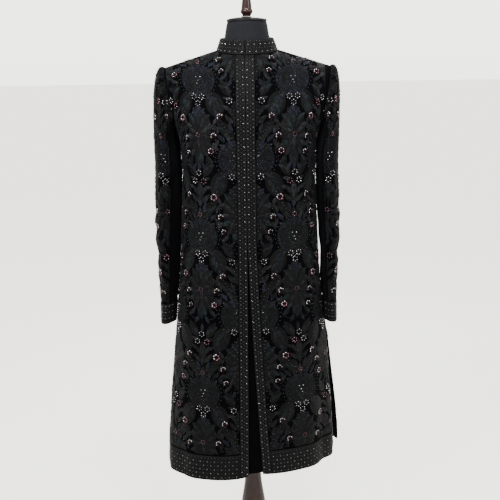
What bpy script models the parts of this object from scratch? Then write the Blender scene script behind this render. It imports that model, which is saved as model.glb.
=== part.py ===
"""Knee-length sherwani coat, worn by a limbless dress form on a turned wooden stand.

Metres, +Z up, the front of the coat faces -Y and the floor is z = 0. The coat's own sides are named as
its wearer has them, so the right front lies at -X. Every cloth piece is a wall between an outer surface,
worked out from the sizes below, and the same points moved in by the wall.
"""

import math
from functools import lru_cache

import bmesh
import bpy
from mathutils import Vector

# Cloth and seams
WALL = 0.0024
SEAM_GAP = 0.0004
BORDER_WALL = 0.0012
BORDER_LIFT = 0.0003

# Coat levels
HEM_Z = 0.372
SLIT_TOP_Z = 0.800
CHEST_Z = 1.250
OPEN_FROM_Z = 1.020

# Horizontal sections of the coat below the armholes
SECTION_COLUMNS = ("z", "half_width", "front", "back", "side_y", "squareness")
SECTIONS = (
    (0.372, 0.2310, 0.1400, 0.1350, 0.045, 3.3),
    (0.470, 0.2245, 0.1385, 0.1310, 0.036, 3.2),
    (0.600, 0.2135, 0.1360, 0.1260, 0.026, 3.0),
    (0.720, 0.2020, 0.1340, 0.1210, 0.016, 2.9),
    (0.800, 0.1935, 0.1320, 0.1170, 0.010, 2.8),
    (0.920, 0.1815, 0.1290, 0.1100, 0.006, 2.7),
    (1.080, 0.1725, 0.1260, 0.1030, 0.004, 2.6),
    (1.180, 0.1700, 0.1260, 0.1070, 0.004, 2.6),
    (1.250, 0.1720, 0.1240, 0.1120, 0.004, 2.6),
)

# Front opening: the two edges part below OPEN_FROM_Z
CLOSURE_X = -0.006
EDGE_GAP = 0.0006
RIGHT_EDGE_DRIFT = 0.0055
LEFT_EDGE_DRIFT = 0.0320
RIGHT_EDGE_ROLL = 0.0150
ROLL_REACH = 0.022
LEFT_EDGE_SET_BACK = 0.012
SET_BACK_REACH = 0.060
LEFT_SIDE_SWING = 0.300
BACK_SWING_BELOW_SLIT = 0.030
LEFT_HEM_RISE = 0.005
EDGE_HEM_RISE = 0.005

# Side slits: how far each panel's edge is drawn back at the hem, and how far the back panel flares
RIGHT_SLIT_CUT = 0.012
LEFT_SLIT_CUT = 0.036
BACK_SLIT_CUT = 0.034
BACK_FLARE = 0.013
FLARE_REACH = 0.050

# Soft folds: panel, distance from the centre line, top, depth at the hem (out is positive), half width
FOLD_COLUMNS = ("panel", "place", "top_z", "depth", "half_width")
FOLDS = (
    ("left_front", 0.236, 0.88, 0.0070, 0.017),
    ("left_front", 0.203, 0.80, -0.0060, 0.016),
    ("left_front", 0.160, 0.72, 0.0040, 0.022),
    ("right_front", -0.245, 0.86, 0.0045, 0.018),
    ("right_front", -0.195, 0.76, -0.0045, 0.020),
    ("back", -0.215, 0.88, 0.0070, 0.021),
    ("back", -0.160, 0.80, -0.0060, 0.022),
    ("back", -0.060, 0.74, 0.0050, 0.026),
    ("back", 0.055, 0.82, -0.0055, 0.024),
    ("back", 0.130, 0.86, 0.0060, 0.024),
    ("back", 0.205, 0.80, -0.0055, 0.021),
)
CHEST_FOLDS = (
    ("left_front", 0.176, 1.20, -0.0035, 0.018),
    ("right_front", -0.178, 1.20, -0.0035, 0.018),
    ("back", 0.165, 1.19, -0.0035, 0.020),
    ("back", -0.165, 1.19, -0.0035, 0.020),
)
CHEST_FOLD_HALF_HEIGHT = 0.075

# Neck seam and shoulders
NECK_HALF_WIDTH = 0.0760
NECK_FRONT = 0.0720
NECK_BACK = 0.0580
NECK_Z = 1.4725
NECK_TILT = 0.0130
SHOULDER_TIP = Vector((0.2060, 0.0040, 1.4320))
SHOULDER_DROP = (NECK_Z - SHOULDER_TIP.z) / (SHOULDER_TIP.x - NECK_HALF_WIDTH)
NECK_SHARE = 0.42

# Armhole
ARMHOLE_CENTRE_Y = 0.005
ARMHOLE_CENTRE_Z = 1.338

# Borders sewn with studs
PLACKET_WIDTH = 0.022
PLACKET_SHARE = 0.08
UNDER_PLACKET_WALL = 0.0016
UNDER_PLACKET_SLACK = 0.0012
UNDER_PLACKET_HEM_R = 0.014
HEM_BORDER_HEIGHT = 0.068
CUFF_BORDER_HEIGHT = 0.054

# Stand collar: outer surface at its top edge
COLLAR_WALL = 0.0028
COLLAR_TOP_HALF_WIDTH = 0.0655
COLLAR_TOP_FRONT = 0.0600
COLLAR_TOP_BACK = 0.0500
COLLAR_TOP_Z = 1.5005
COLLAR_TOP_TILT = 0.0055
COLLAR_OPENING = 0.0030

# Sleeve sections below the cap, hanging empty beside the body
SLEEVE_COLUMNS = ("z", "centre_x", "centre_y", "half_x", "half_y")
SLEEVE_SECTIONS = (
    (0.782, 0.2162, -0.024, 0.0135, 0.0600),
    (0.836, 0.2145, -0.017, 0.0150, 0.0620),
    (0.890, 0.2130, -0.009, 0.0180, 0.0650),
    (0.960, 0.2130, -0.001, 0.0220, 0.0690),
    (1.040, 0.2110, 0.003, 0.0265, 0.0735),
    (1.120, 0.2075, 0.003, 0.0275, 0.0770),
    (1.200, 0.2050, 0.001, 0.0270, 0.0800),
)
SLEEVE_TOP_Z = 1.200
SLEEVE_HANG = {"right": 0.0055, "left": -0.0050}
SLEEVE_SQUARENESS = 2.3
CUFF_TILT = 0.10
CUFF_TILT_REACH = 0.12
ELBOW_FOLDS = (
    (1.035, -0.0030, 0.012),
    (1.000, 0.0025, 0.012),
    (0.965, -0.0025, 0.011),
)

# Dress form: sections of the torso under the coat
FORM_COLUMNS = ("z", "half_width", "front", "back")
FORM_SECTIONS = (
    (0.765, 0.1500, 0.0980, 0.0960),
    (0.800, 0.1640, 0.1070, 0.1040),
    (0.870, 0.1680, 0.1120, 0.1040),
    (0.960, 0.1560, 0.1080, 0.0960),
    (1.050, 0.1460, 0.1040, 0.0880),
    (1.150, 0.1540, 0.1100, 0.0930),
    (1.225, 0.1650, 0.1170, 0.1020),
)
FORM_SQUARENESS = 2.5
FORM_CLEARANCE = 0.0008
FORM_NECK_DRAW_IN = 0.03
FORM_NECK_DROP = 0.0015
FORM_CHEST_CLEARANCE = 0.0045
FORM_SIDE_GAP = 0.0030
FORM_NECK_COLUMNS = ("z", "tilt", "half_width", "front", "back")
FORM_NECK = (
    (1.4800, 0.0110, 0.0640, 0.0610, 0.0490),
    (1.4930, 0.0090, 0.0575, 0.0575, 0.0455),
    (1.5120, 0.0050, 0.0535, 0.0550, 0.0430),
    (1.5320, 0.0010, 0.0500, 0.0550, 0.0430),
    (1.5380, 0.0000, 0.0480, 0.0540, 0.0420),
)
NECK_CENTRE_Y = -0.006

# Stand, neck cap and finial: turned profiles of radius and height
NECK_CAP_PROFILE = (
    (0.0470, 1.5383),
    (0.0485, 1.5398),
    (0.0485, 1.5415),
    (0.0460, 1.5432),
    (0.0250, 1.5462),
    (0.0125, 1.5470),
)
WASHER_PROFILE = (
    (0.0110, 1.5473),
    (0.0120, 1.5482),
    (0.0120, 1.5505),
    (0.0090, 1.5520),
    (0.0085, 1.5560),
)
FINIAL_PROFILE = (
    (0.0085, 1.5563),
    (0.0105, 1.5580),
    (0.0125, 1.5615),
    (0.0120, 1.5650),
    (0.0095, 1.5690),
    (0.0088, 1.5750),
    (0.0080, 1.5910),
    (0.0078, 1.6070),
    (0.0105, 1.6130),
    (0.0135, 1.6210),
    (0.0142, 1.6290),
    (0.0118, 1.6390),
    (0.0060, 1.6450),
)
POLE_RADIUS = 0.0160
POLE_BOTTOM_Z = 0.3663
POLE_TOP_Z = 0.7647
COLUMN_PROFILE = (
    (0.0520, 0.0293),
    (0.0550, 0.0380),
    (0.0400, 0.0520),
    (0.0285, 0.0800),
    (0.0270, 0.1050),
    (0.0350, 0.1350),
    (0.0400, 0.1600),
    (0.0400, 0.1800),
    (0.0365, 0.2100),
    (0.0320, 0.2400),
    (0.0265, 0.2750),
    (0.0228, 0.3060),
    (0.0215, 0.3300),
    (0.0200, 0.3660),
)
BASE_PROFILE = (
    (0.2050, 0.0000),
    (0.2080, 0.0060),
    (0.2080, 0.0150),
    (0.1990, 0.0230),
    (0.1750, 0.0270),
    (0.0600, 0.0290),
)

# Mesh resolution
BODY_ROWS = 12
YOKE_ROWS = 8
NECK_COLUMNS = 5
SHOULDER_COLUMNS = 9
SLEEVE_ROWS_BELOW = 12
SLEEVE_CAP_ROWS = 5
COLLAR_SEGMENTS = 30

COLOURS = {
    "velvet": ((0.006, 0.006, 0.009, 1.0), 0.85, 0.0),
    "border": ((0.020, 0.021, 0.025, 1.0), 0.60, 0.1),
    "form_cloth": ((0.035, 0.036, 0.042, 1.0), 0.90, 0.0),
    "cap_metal": ((0.050, 0.050, 0.045, 1.0), 0.45, 0.8),
    "dark_wood": ((0.060, 0.022, 0.018, 1.0), 0.30, 0.0),
    "pole_steel": ((0.300, 0.300, 0.300, 1.0), 0.30, 1.0),
}


def clear_scene():
    for thing in list(bpy.data.objects):
        bpy.data.objects.remove(thing)


def material(name):
    found = bpy.data.materials.get(name)
    if found:
        return found
    colour, roughness, metallic = COLOURS[name]
    made = bpy.data.materials.new(name)
    made.use_nodes = True
    shader = made.node_tree.nodes["Principled BSDF"]
    shader.inputs["Base Color"].default_value = colour
    shader.inputs["Roughness"].default_value = roughness
    shader.inputs["Metallic"].default_value = metallic
    return made


# Small mathematics


def mix(a, b, share):
    return a + (b - a) * share


def ease(share):
    share = min(1.0, max(0.0, share))
    return share * share * (3.0 - 2.0 * share)


def bell(distance, half_width):
    return math.exp(-((distance / half_width) ** 2))


def from_table(table, z):
    """Reads the columns of a table at height z, on a smooth curve through its rows."""
    z = min(max(z, table[0][0]), table[-1][0])
    last = len(table) - 2
    k = next((i for i in range(last + 1) if z <= table[i + 1][0]), last)
    low, high = table[k], table[k + 1]
    before, after = table[max(k - 1, 0)], table[min(k + 2, last + 1)]
    step = high[0] - low[0]
    t = (z - low[0]) / step
    values = []
    for column in range(1, len(low)):
        slope_low = (high[column] - before[column]) / (high[0] - before[0])
        slope_high = (after[column] - low[column]) / (after[0] - low[0])
        values.append(
            (2 * t**3 - 3 * t**2 + 1) * low[column]
            + (t**3 - 2 * t**2 + t) * step * slope_low
            + (3 * t**2 - 2 * t**3) * high[column]
            + (t**3 - t**2) * step * slope_high
        )
    return values


def bezier(a, b, c, d, t):
    s = 1.0 - t
    return a * s**3 + b * (3 * s * s * t) + c * (3 * s * t * t) + d * t**3


def super_curve(half_width, depth, squareness, steps=120):
    """A quarter of a rounded rectangle, from the centre line to the side: (arc, x, depth) for each point."""
    points = []
    arc = 0.0
    for i in range(steps + 1):
        angle = ease(i / steps) * math.pi / 2
        x = half_width * math.sin(angle) ** (2 / squareness)
        y = depth * math.cos(angle) ** (2 / squareness) if i < steps else 0.0
        if points:
            arc += math.hypot(x - points[-1][1], y - points[-1][2])
        points.append((arc, x, y))
    return points


def along(curve, arc):
    """The point of a curve at that distance along it, and the direction there."""
    low, high = 0, len(curve) - 1
    while high - low > 1:
        middle = (low + high) // 2
        if curve[middle][0] <= arc:
            low = middle
        else:
            high = middle
    a, b = curve[low], curve[high]
    t = (arc - a[0]) / max(b[0] - a[0], 1e-9)
    return mix(a[1], b[1], t), mix(a[2], b[2], t)


# The coat's body


@lru_cache(maxsize=None)
def section(level, front):
    """The front or back quarter of the coat's section at that height in tenths of a millimetre."""
    half_width, front_y, back_y, side_y, squareness = from_table(SECTIONS, level / 10000)
    depth = front_y + side_y if front else back_y - side_y
    return tuple(super_curve(half_width, depth, squareness)), side_y


def open_share(z):
    """How far the coat has fallen open at that height: 0 where it is closed, 1 at the hem."""
    return max(0.0, (OPEN_FROM_Z - z) / (OPEN_FROM_Z - HEM_Z)) ** 1.3


def slit_share(z):
    return max(0.0, (SLIT_TOP_Z - z) / (SLIT_TOP_Z - HEM_Z)) ** 1.2


def side_swing(panel, z):
    """How far the wearer's left side of a panel swings back, for each metre from the centre line."""
    if panel == "back":
        return LEFT_SIDE_SWING * open_share(max(z, SLIT_TOP_Z)) + BACK_SWING_BELOW_SLIT * slit_share(z)
    return LEFT_SIDE_SWING * open_share(z)


def fold_depth(panel, place, z):
    depth = 0.0
    for name, centre, top, size, half_width in FOLDS:
        if name == panel:
            depth += size * ease((top - z) / (top - HEM_Z)) * bell(place - centre, half_width)
    for name, centre, middle, size, half_width in CHEST_FOLDS:
        if name == panel:
            depth += size * bell(z - middle, CHEST_FOLD_HALF_HEIGHT) * bell(place - centre, half_width)
    return depth


def quarter_point(panel, place, z):
    """A point of the coat's body: place is the distance round from the centre line, negative at -X."""
    front = panel != "back"
    curve, side_y = section(round(z * 10000), front)
    arc = min(abs(place), curve[-1][0])
    x, depth = along(curve, arc)
    ahead = along(curve, min(arc + 0.002, curve[-1][0]))
    behind = along(curve, max(arc - 0.002, 0.0))
    run = math.hypot(ahead[0] - behind[0], ahead[1] - behind[1])
    out_x = (behind[1] - ahead[1]) / run
    out_depth = (ahead[0] - behind[0]) / run
    push = fold_depth(panel, place, z)
    side = -1.0 if place < 0 else 1.0
    facing = -1.0 if front else 1.0
    return Vector((side * (x + out_x * push), side_y + facing * (depth + out_depth * push), z))


def panel_run(panel, z):
    """Where a panel starts and ends round the body at that height."""
    curve, _ = section(round(z * 10000), panel != "back")
    full = curve[-1][0] - SEAM_GAP / 2
    if panel == "back":
        side = full - BACK_SLIT_CUT * slit_share(z)
        return -side, side
    if panel == "left_front":
        return CLOSURE_X + EDGE_GAP / 2 + LEFT_EDGE_DRIFT * open_share(z), full - LEFT_SLIT_CUT * slit_share(z)
    return CLOSURE_X - EDGE_GAP / 2 - RIGHT_EDGE_DRIFT * open_share(z), RIGHT_SLIT_CUT * slit_share(z) - full


def place_on(panel, c, start, end):
    """The place at column c: the placket border keeps its width, and the rest is shared out evenly."""
    if panel == "back":
        return mix(start, end, c)
    direction = 1.0 if end > start else -1.0
    border_end = start + direction * PLACKET_WIDTH
    if c <= PLACKET_SHARE:
        return mix(start, border_end, c / PLACKET_SHARE)
    return mix(border_end, end, (c - PLACKET_SHARE) / (1 - PLACKET_SHARE))


def body_point(panel, c, z):
    start, end = panel_run(panel, z)
    place = place_on(panel, c, start, end)
    point = quarter_point(panel, place, z)
    fallen = open_share(z)
    point.y += side_swing(panel, z) * max(point.x, 0.0)
    if panel == "left_front":
        point.y += LEFT_EDGE_SET_BACK * fallen * math.exp(-place / SET_BACK_REACH)
    elif panel == "right_front":
        point.y += RIGHT_EDGE_ROLL * fallen * math.exp(-abs(place - start) / ROLL_REACH)
    else:
        edge = math.exp(-min(abs(place - start), abs(place - end)) / FLARE_REACH)
        point.x += math.copysign(BACK_FLARE * slit_share(z) * edge, point.x)
    return point


def neck_ring(angle):
    """The neck seam: angle 0 is the centre front and a right angle the shoulder."""
    depth = NECK_FRONT if math.cos(angle) > 0 else NECK_BACK
    return Vector(
        (
            NECK_HALF_WIDTH * math.sin(angle),
            -depth * math.cos(angle),
            NECK_Z - NECK_TILT * math.cos(angle),
        )
    )


def top_point(panel, c):
    """The top edge of a panel: along the neck seam, then down the shoulder seam to its tip."""
    if panel == "back":
        reach = abs(2 * c - 1)
        side = -1.0 if c < 0.5 else 1.0
        start_angle = math.pi
    else:
        reach = c
        side = 1.0 if panel == "left_front" else -1.0
        start_angle = side * (CLOSURE_X + side * EDGE_GAP / 2) / NECK_HALF_WIDTH
    if reach <= NECK_SHARE:
        border_angle = PLACKET_WIDTH / NECK_FRONT
        if panel == "back":
            angle = mix(start_angle, math.pi / 2, reach / NECK_SHARE)
        elif reach <= PLACKET_SHARE:
            angle = start_angle + border_angle * reach / PLACKET_SHARE
        else:
            share = (reach - PLACKET_SHARE) / (NECK_SHARE - PLACKET_SHARE)
            angle = mix(start_angle + border_angle, math.pi / 2, share)
        point = neck_ring(angle)
    else:
        point = neck_ring(math.pi / 2).lerp(SHOULDER_TIP, (reach - NECK_SHARE) / (1 - NECK_SHARE))
    point.y += SEAM_GAP / 2 * (1.0 if panel == "back" else -1.0)
    return Vector((side * point.x, point.y, point.z))


def yoke_point(panel, c, t):
    """The part above the armpits: t is 0 at the chest line and 1 at the neck and shoulder."""
    chest = body_point(panel, c, CHEST_Z)
    top = top_point(panel, c)
    back = panel == "back"
    reach = abs(2 * c - 1) if back else c
    side = -1.0 if chest.x < 0 else 1.0
    facing = 1.0 if back else -1.0
    outer = ease((reach - 0.55) / 0.45)
    rise = Vector((0, 0.010 * back, 0.112))
    scoop = Vector((0.006 * side, 0.084 * facing, 0.045))
    neck_slope = Vector((0, 0.027 * facing, -0.052))
    shoulder_slope = Vector((0, 0.048 * facing, -0.026))
    tip_slope = Vector((0, 0.066 * facing, -0.028))
    slope = neck_slope.lerp(shoulder_slope, min(reach / NECK_SHARE, 1.0))
    slope = slope.lerp(tip_slope, ease((reach - NECK_SHARE) / (1 - NECK_SHARE)))
    return bezier(chest, chest + rise.lerp(scoop, outer), top + slope, top, t)


def hem_z(panel, c):
    z = HEM_Z
    if panel == "left_front":
        z += LEFT_HEM_RISE
    if panel != "back":
        z += EDGE_HEM_RISE * math.exp(-c / 0.10)
    return z


def coat_point(panel, c, r):
    """A point of a body panel's outer surface: r is 0 at the hem, 1 at the chest line and 2 at the top."""
    if r <= 1.0:
        return body_point(panel, c, mix(hem_z(panel, c), CHEST_Z, r))
    return yoke_point(panel, c, r - 1.0)


def coat_normal(panel, c, r):
    """The way out of the cloth, shared by both pieces where they meet at a seam."""
    point = coat_point(panel, c, r)
    side = -1.0 if point.x < 0 else 1.0
    reach = abs(2 * c - 1) if panel == "back" else c
    if reach > 0.999 and r >= 1.0:
        return Vector((0, point.y - ARMHOLE_CENTRE_Y, point.z - ARMHOLE_CENTRE_Z)).normalized()
    if reach > 0.999 and point.z > SLIT_TOP_Z - 0.04:
        return Vector((side, 0, 0))
    if r > 1.999 and reach > NECK_SHARE - 1e-6:
        return Vector((SHOULDER_DROP * side, 0, 1)).normalized()
    step = 0.004
    across = coat_point(panel, min(c + step, 1.0), r) - coat_point(panel, max(c - step, 0.0), r)
    upward = coat_point(panel, c, min(r + step, 2.0)) - coat_point(panel, c, max(r - step, 0.0))
    normal = across.cross(upward).normalized()
    faces_out = -1.0 if panel != "back" else 1.0
    if abs(normal.y) > 0.2:
        return normal * (1.0 if normal.y * faces_out > 0 else -1.0)
    return normal * (1.0 if normal.x * side > 0 else -1.0)


# The sleeves, worked out at +X and mirrored for the right one


def oval(name, z, u, grow=0.0):
    """A point of a sleeve's section: u is 0 at the inner side, a quarter at the front, a half outside."""
    centre_x, centre_y, half_x, half_y = from_table(SLEEVE_SECTIONS, z)
    centre_x += SLEEVE_HANG[name]
    angle = 2 * math.pi * u
    power = 2 / SLEEVE_SQUARENESS
    cosine, sine = math.cos(angle), math.sin(angle)
    x = centre_x - math.copysign(abs(cosine) ** power, cosine) * (half_x + grow)
    y = centre_y - math.copysign(abs(sine) ** power, sine) * (half_y + grow)
    return Vector((x, y, z))


def armhole_point(u):
    if u <= 0.5:
        point = yoke_point("left_front", 1.0, u / 0.5)
    else:
        point = yoke_point("back", 1.0, (1.0 - u) / 0.5)
    seam = math.exp(-(min(u, 1.0 - u, abs(u - 0.5)) / 0.02) ** 2)
    point.y += SEAM_GAP / 2 * seam * (1.0 if u <= 0.5 else -1.0)
    point.x += SEAM_GAP
    return point


def sleeve_point(name, u, v):
    """A point of a sleeve's outer surface: v is 0 at the cuff, 1 under the cap and 2 at the armhole."""
    if v <= 1.0:
        bottom = SLEEVE_SECTIONS[0][0]
        z = mix(bottom, SLEEVE_TOP_Z, v)
        outside = max(0.0, -math.cos(2 * math.pi * u))
        grow = sum(size * bell(z - level, half) for level, size, half in ELBOW_FOLDS) * (0.3 + 0.7 * outside)
        point = oval(name, z, u, grow)
        tilt = max(0.0, 1.0 - (z - bottom) / CUFF_TILT_REACH)
        point.z -= CUFF_TILT * (point.y - SLEEVE_SECTIONS[0][2]) * tilt
        return point
    t = 2.0 - v
    seam = armhole_point(u)
    joined = oval(name, SLEEVE_TOP_Z, u)
    outside = (1 - math.cos(2 * math.pi * u)) / 2
    forward = math.sin(2 * math.pi * u)
    leave = Vector((0.003 + 0.031 * outside**0.6, -0.010 * forward, -0.004 + 0.026 * outside**2))
    arrive = Vector((0, 0, 0.018 + 0.102 * outside))
    return bezier(seam, seam + leave, joined + arrive, joined, t)


def sleeve_normal(name, u, v):
    point = sleeve_point(name, u, v)
    if v > 1.999:
        return Vector((0, point.y - ARMHOLE_CENTRE_Y, point.z - ARMHOLE_CENTRE_Z)).normalized()
    step = 0.004
    around = sleeve_point(name, (u + step) % 1.0, v) - sleeve_point(name, (u - step) % 1.0, v)
    upward = sleeve_point(name, u, min(v + step, 2.0)) - sleeve_point(name, u, max(v - step, 0.0))
    return around.cross(upward).normalized()


# Making walls from surfaces


def add_object(name, mesh_maker, material_name, smooth_angle=math.radians(40)):
    data = bpy.data.meshes.new(name)
    bm = bmesh.new()
    mesh_maker(bm)
    bm.to_mesh(data)
    bm.free()
    data.shade_smooth()
    data.set_sharp_from_angle(angle=smooth_angle)
    data.materials.append(material(material_name))
    made = bpy.data.objects.new(name, data)
    bpy.context.scene.collection.objects.link(made)
    return made


def cloth_wall(name, outer, inner, material_name, wraps=False):
    """A closed wall: a grid laid on the outer points, then extruded to the inner ones."""
    columns, rows = len(outer[0]), len(outer)

    def make(bm):
        tag = bm.verts.layers.int.new("point")
        grid = bmesh.ops.create_grid(bm, x_segments=columns - 1, y_segments=rows - 1, size=0.5)
        for vert in grid["verts"]:
            i = round((vert.co.x + 0.5) * (columns - 1))
            j = round((vert.co.y + 0.5) * (rows - 1))
            vert[tag] = j * columns + i
            vert.co = outer[j][i]
        if wraps:
            bmesh.ops.remove_doubles(bm, verts=bm.verts[:], dist=1e-6)
        extruded = bmesh.ops.extrude_face_region(bm, geom=bm.faces[:], use_keep_orig=True)
        for item in extruded["geom"]:
            if isinstance(item, bmesh.types.BMVert):
                j, i = divmod(item[tag], columns)
                item.co = inner[j][i]
        bmesh.ops.recalc_face_normals(bm, faces=bm.faces[:])
        bmesh.ops.triangulate(bm, faces=bm.faces[:])

    return add_object(name, make, material_name)


def surface_rows(point, normal, columns, rows, lift):
    return [[point(c, r) + normal(c, r) * lift for c in columns] for r in rows]


def even(start, end, parts):
    return [mix(start, end, i / parts) for i in range(parts + 1)]


def front_columns():
    placket = [0.0, PLACKET_SHARE / 2]
    neck = even(PLACKET_SHARE, NECK_SHARE, NECK_COLUMNS)
    return placket + neck + even(NECK_SHARE, 1.0, SHOULDER_COLUMNS)[1:]


def back_columns():
    reaches = even(0.0, NECK_SHARE, NECK_COLUMNS) + even(NECK_SHARE, 1.0, SHOULDER_COLUMNS)[1:]
    return [(1 - reach) / 2 for reach in reversed(reaches)] + [(1 + reach) / 2 for reach in reaches[1:]]


def body_rows():
    border_r = HEM_BORDER_HEIGHT / (CHEST_Z - HEM_Z)
    return [0.0, border_r / 2] + even(border_r, 1.0, BODY_ROWS - 2) + even(1.0, 2.0, YOKE_ROWS)[1:]


def make_panel(name):
    columns = back_columns() if name == "back" else front_columns()

    def point(c, r):
        return coat_point(name, c, r)

    def normal(c, r):
        return coat_normal(name, c, r)

    outer = surface_rows(point, normal, columns, body_rows(), 0.0)
    inner = surface_rows(point, normal, columns, body_rows(), -WALL)
    cloth_wall(name, outer, inner, "velvet")


def make_hem_border(name, panel):
    rows = body_rows()[:3]
    if panel == "back":
        columns = back_columns()
    else:
        columns = front_columns()[2:]
        columns[0] += 0.002

    def point(c, r):
        return coat_point(panel, c, r)

    def normal(c, r):
        return coat_normal(panel, c, r)

    outer = surface_rows(point, normal, columns, rows, BORDER_LIFT + BORDER_WALL)
    inner = surface_rows(point, normal, columns, rows, BORDER_LIFT)
    cloth_wall(name, outer, inner, "border")


def make_placket_border(name, panel):
    columns = [0.002, PLACKET_SHARE / 2, PLACKET_SHARE - 0.002]
    rows = body_rows()
    rows[-1] -= 0.012

    def point(c, r):
        return coat_point(panel, c, r)

    def normal(c, r):
        return coat_normal(panel, c, r)

    outer = surface_rows(point, normal, columns, rows, BORDER_LIFT + BORDER_WALL)
    inner = surface_rows(point, normal, columns, rows, BORDER_LIFT)
    cloth_wall(name, outer, inner, "border")


def make_under_placket():
    """The strip of cloth behind the two front edges: it bridges the gap where the coat falls open."""
    rows = [UNDER_PLACKET_HEM_R] + [r for r in body_rows() if r > 0 and mix(HEM_Z, CHEST_Z, r) < OPEN_FROM_Z + 0.08]
    line = [("right_front", c) for c in (PLACKET_SHARE, PLACKET_SHARE / 2, 0.0)]
    line += [("left_front", c) for c in (0.0, PLACKET_SHARE / 2, PLACKET_SHARE)]
    outer, inner = [], []
    for r in rows:
        behind = WALL + SEAM_GAP + UNDER_PLACKET_SLACK * open_share(mix(HEM_Z, CHEST_Z, r))
        ends = [(coat_point(panel, c, r), coat_normal(panel, c, r)) for panel, c in line]
        outer.append([point - normal * behind for point, normal in ends])
        inner.append([point - normal * (behind + UNDER_PLACKET_WALL) for point, normal in ends])
    cloth_wall("under_placket", outer, inner, "velvet")


def make_sleeve(name, side):
    count = 2 * YOKE_ROWS
    turns = [i / count for i in range(count + 1)]
    border_v = CUFF_BORDER_HEIGHT / (SLEEVE_TOP_Z - SLEEVE_SECTIONS[0][0])
    rows = [0.0, border_v / 2] + even(border_v, 1.0, SLEEVE_ROWS_BELOW - 2)
    rows += even(1.0, 2.0, SLEEVE_CAP_ROWS)[1:]

    def placed(lift, used):
        points = []
        for v in used:
            line = [sleeve_point(name, u % 1.0, v) + sleeve_normal(name, u % 1.0, v) * lift for u in turns]
            points.append([Vector((side * p.x, p.y, p.z)) for p in line])
        return points

    cloth_wall(name + "_sleeve", placed(0.0, rows), placed(-WALL, rows), "velvet", wraps=True)
    border = rows[:3]
    outer = placed(BORDER_LIFT + BORDER_WALL, border)
    inner = placed(BORDER_LIFT, border)
    cloth_wall(name + "_cuff_border", outer, inner, "border", wraps=True)


def collar_point(angle, h):
    """The collar's outer surface: h is 0 at the neck seam and 1 at the top edge."""
    base = neck_ring(angle)
    depth = COLLAR_TOP_FRONT if math.cos(angle) > 0 else COLLAR_TOP_BACK
    top = Vector(
        (
            COLLAR_TOP_HALF_WIDTH * math.sin(angle),
            -depth * math.cos(angle),
            COLLAR_TOP_Z - COLLAR_TOP_TILT * math.cos(angle),
        )
    )
    point = base.lerp(top, h)
    point.z += SEAM_GAP * (1 - h)
    return point


def make_collar():
    start = (CLOSURE_X + COLLAR_OPENING / 2) / NECK_HALF_WIDTH
    end = 2 * math.pi + (CLOSURE_X - COLLAR_OPENING / 2) / NECK_HALF_WIDTH
    outer, inner = [], []
    for h in (0.0, 0.33, 0.66, 1.0):
        spread = 0.016 * h
        angles = even(start + spread, end - spread, COLLAR_SEGMENTS)
        outer.append([collar_point(a, h) for a in angles])
        line = []
        for a in angles:
            point = collar_point(a, h)
            inward = Vector((-math.sin(a), math.cos(a), 0)).normalized()
            line.append(point + inward * COLLAR_WALL)
        inner.append(line)
    cloth_wall("collar", outer, inner, "border")


# The dress form and its stand


def make_form():
    """The torso: its own sections up to the chest, then the coat's points moved in, up to the neck."""
    fronts = front_columns()
    backs = back_columns()
    line = [("right_front", c) for c in reversed(fronts[1:])]
    line += [("left_front", c) for c in fronts]
    line += [("back", c) for c in reversed(backs)]

    def low_ring(z, half_width, front, back):
        curves = {"back": super_curve(half_width, back, FORM_SQUARENESS)}
        curves["right_front"] = curves["left_front"] = super_curve(half_width, front, FORM_SQUARENESS)
        ring = []
        for panel, c in line:
            reach = 2 * c - 1 if panel == "back" else c * (1.0 if panel == "left_front" else -1.0)
            x, depth = along(curves[panel], abs(reach) * (curves[panel][-1][0] - FORM_SIDE_GAP))
            ring.append(Vector((math.copysign(x, reach), depth if panel == "back" else -depth, z)))
        return ring

    def high_ring(r):
        inset = WALL + mix(FORM_CHEST_CLEARANCE, FORM_CLEARANCE, min(1.0, (r - 1.0) / 0.4))
        ring = []
        for panel, c in line:
            point = coat_point(panel, c, r) - coat_normal(panel, c, r) * inset
            reach = abs(2 * c - 1) if panel == "back" else c
            point.x -= math.copysign(FORM_SIDE_GAP * ease((reach - 0.9) / 0.1), point.x)
            if r > 1.999 and reach > NECK_SHARE - 1e-6:
                point.y = mix(neck_ring(math.pi / 2).y, SHOULDER_TIP.y, (reach - NECK_SHARE) / (1 - NECK_SHARE))
            if r > 1.999 and reach < NECK_SHARE + 1e-6:
                point = point.lerp(Vector((0, NECK_CENTRE_Y, point.z)), FORM_NECK_DRAW_IN)
                point.z -= FORM_NECK_DROP
            ring.append(point)
        return ring

    def make(bm):
        below = None
        rings = [low_ring(*row) for row in FORM_SECTIONS]
        rings += [high_ring(r) for r in body_rows() if r >= 1.0]
        for ring in rings:
            verts = [bm.verts.new(point) for point in ring]
            if below is None:
                bm.faces.new(verts)
            else:
                for i in range(len(verts)):
                    bm.faces.new((below[i - 1], below[i], verts[i], verts[i - 1]))
            below = verts
        bmesh.ops.remove_doubles(bm, verts=bm.verts[:], dist=1e-5)
        neck = [edge for edge in bm.edges if edge.is_boundary]
        for z, tilt, half_width, front, back in FORM_NECK:
            extruded = bmesh.ops.extrude_edge_only(bm, edges=neck)["geom"]
            for vert in (item for item in extruded if isinstance(item, bmesh.types.BMVert)):
                depth = front if vert.co.y < 0 else back
                angle = math.atan2(vert.co.x / half_width, -vert.co.y / depth)
                vert.co = (half_width * math.sin(angle), -depth * math.cos(angle), z - tilt * math.cos(angle))
            neck = [item for item in extruded if isinstance(item, bmesh.types.BMEdge)]
        bmesh.ops.holes_fill(bm, edges=neck, sides=0)
        bmesh.ops.recalc_face_normals(bm, faces=bm.faces[:])
        bmesh.ops.triangulate(bm, faces=bm.faces[:])

    add_object("dress_form", make, "form_cloth", math.radians(50))


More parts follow.
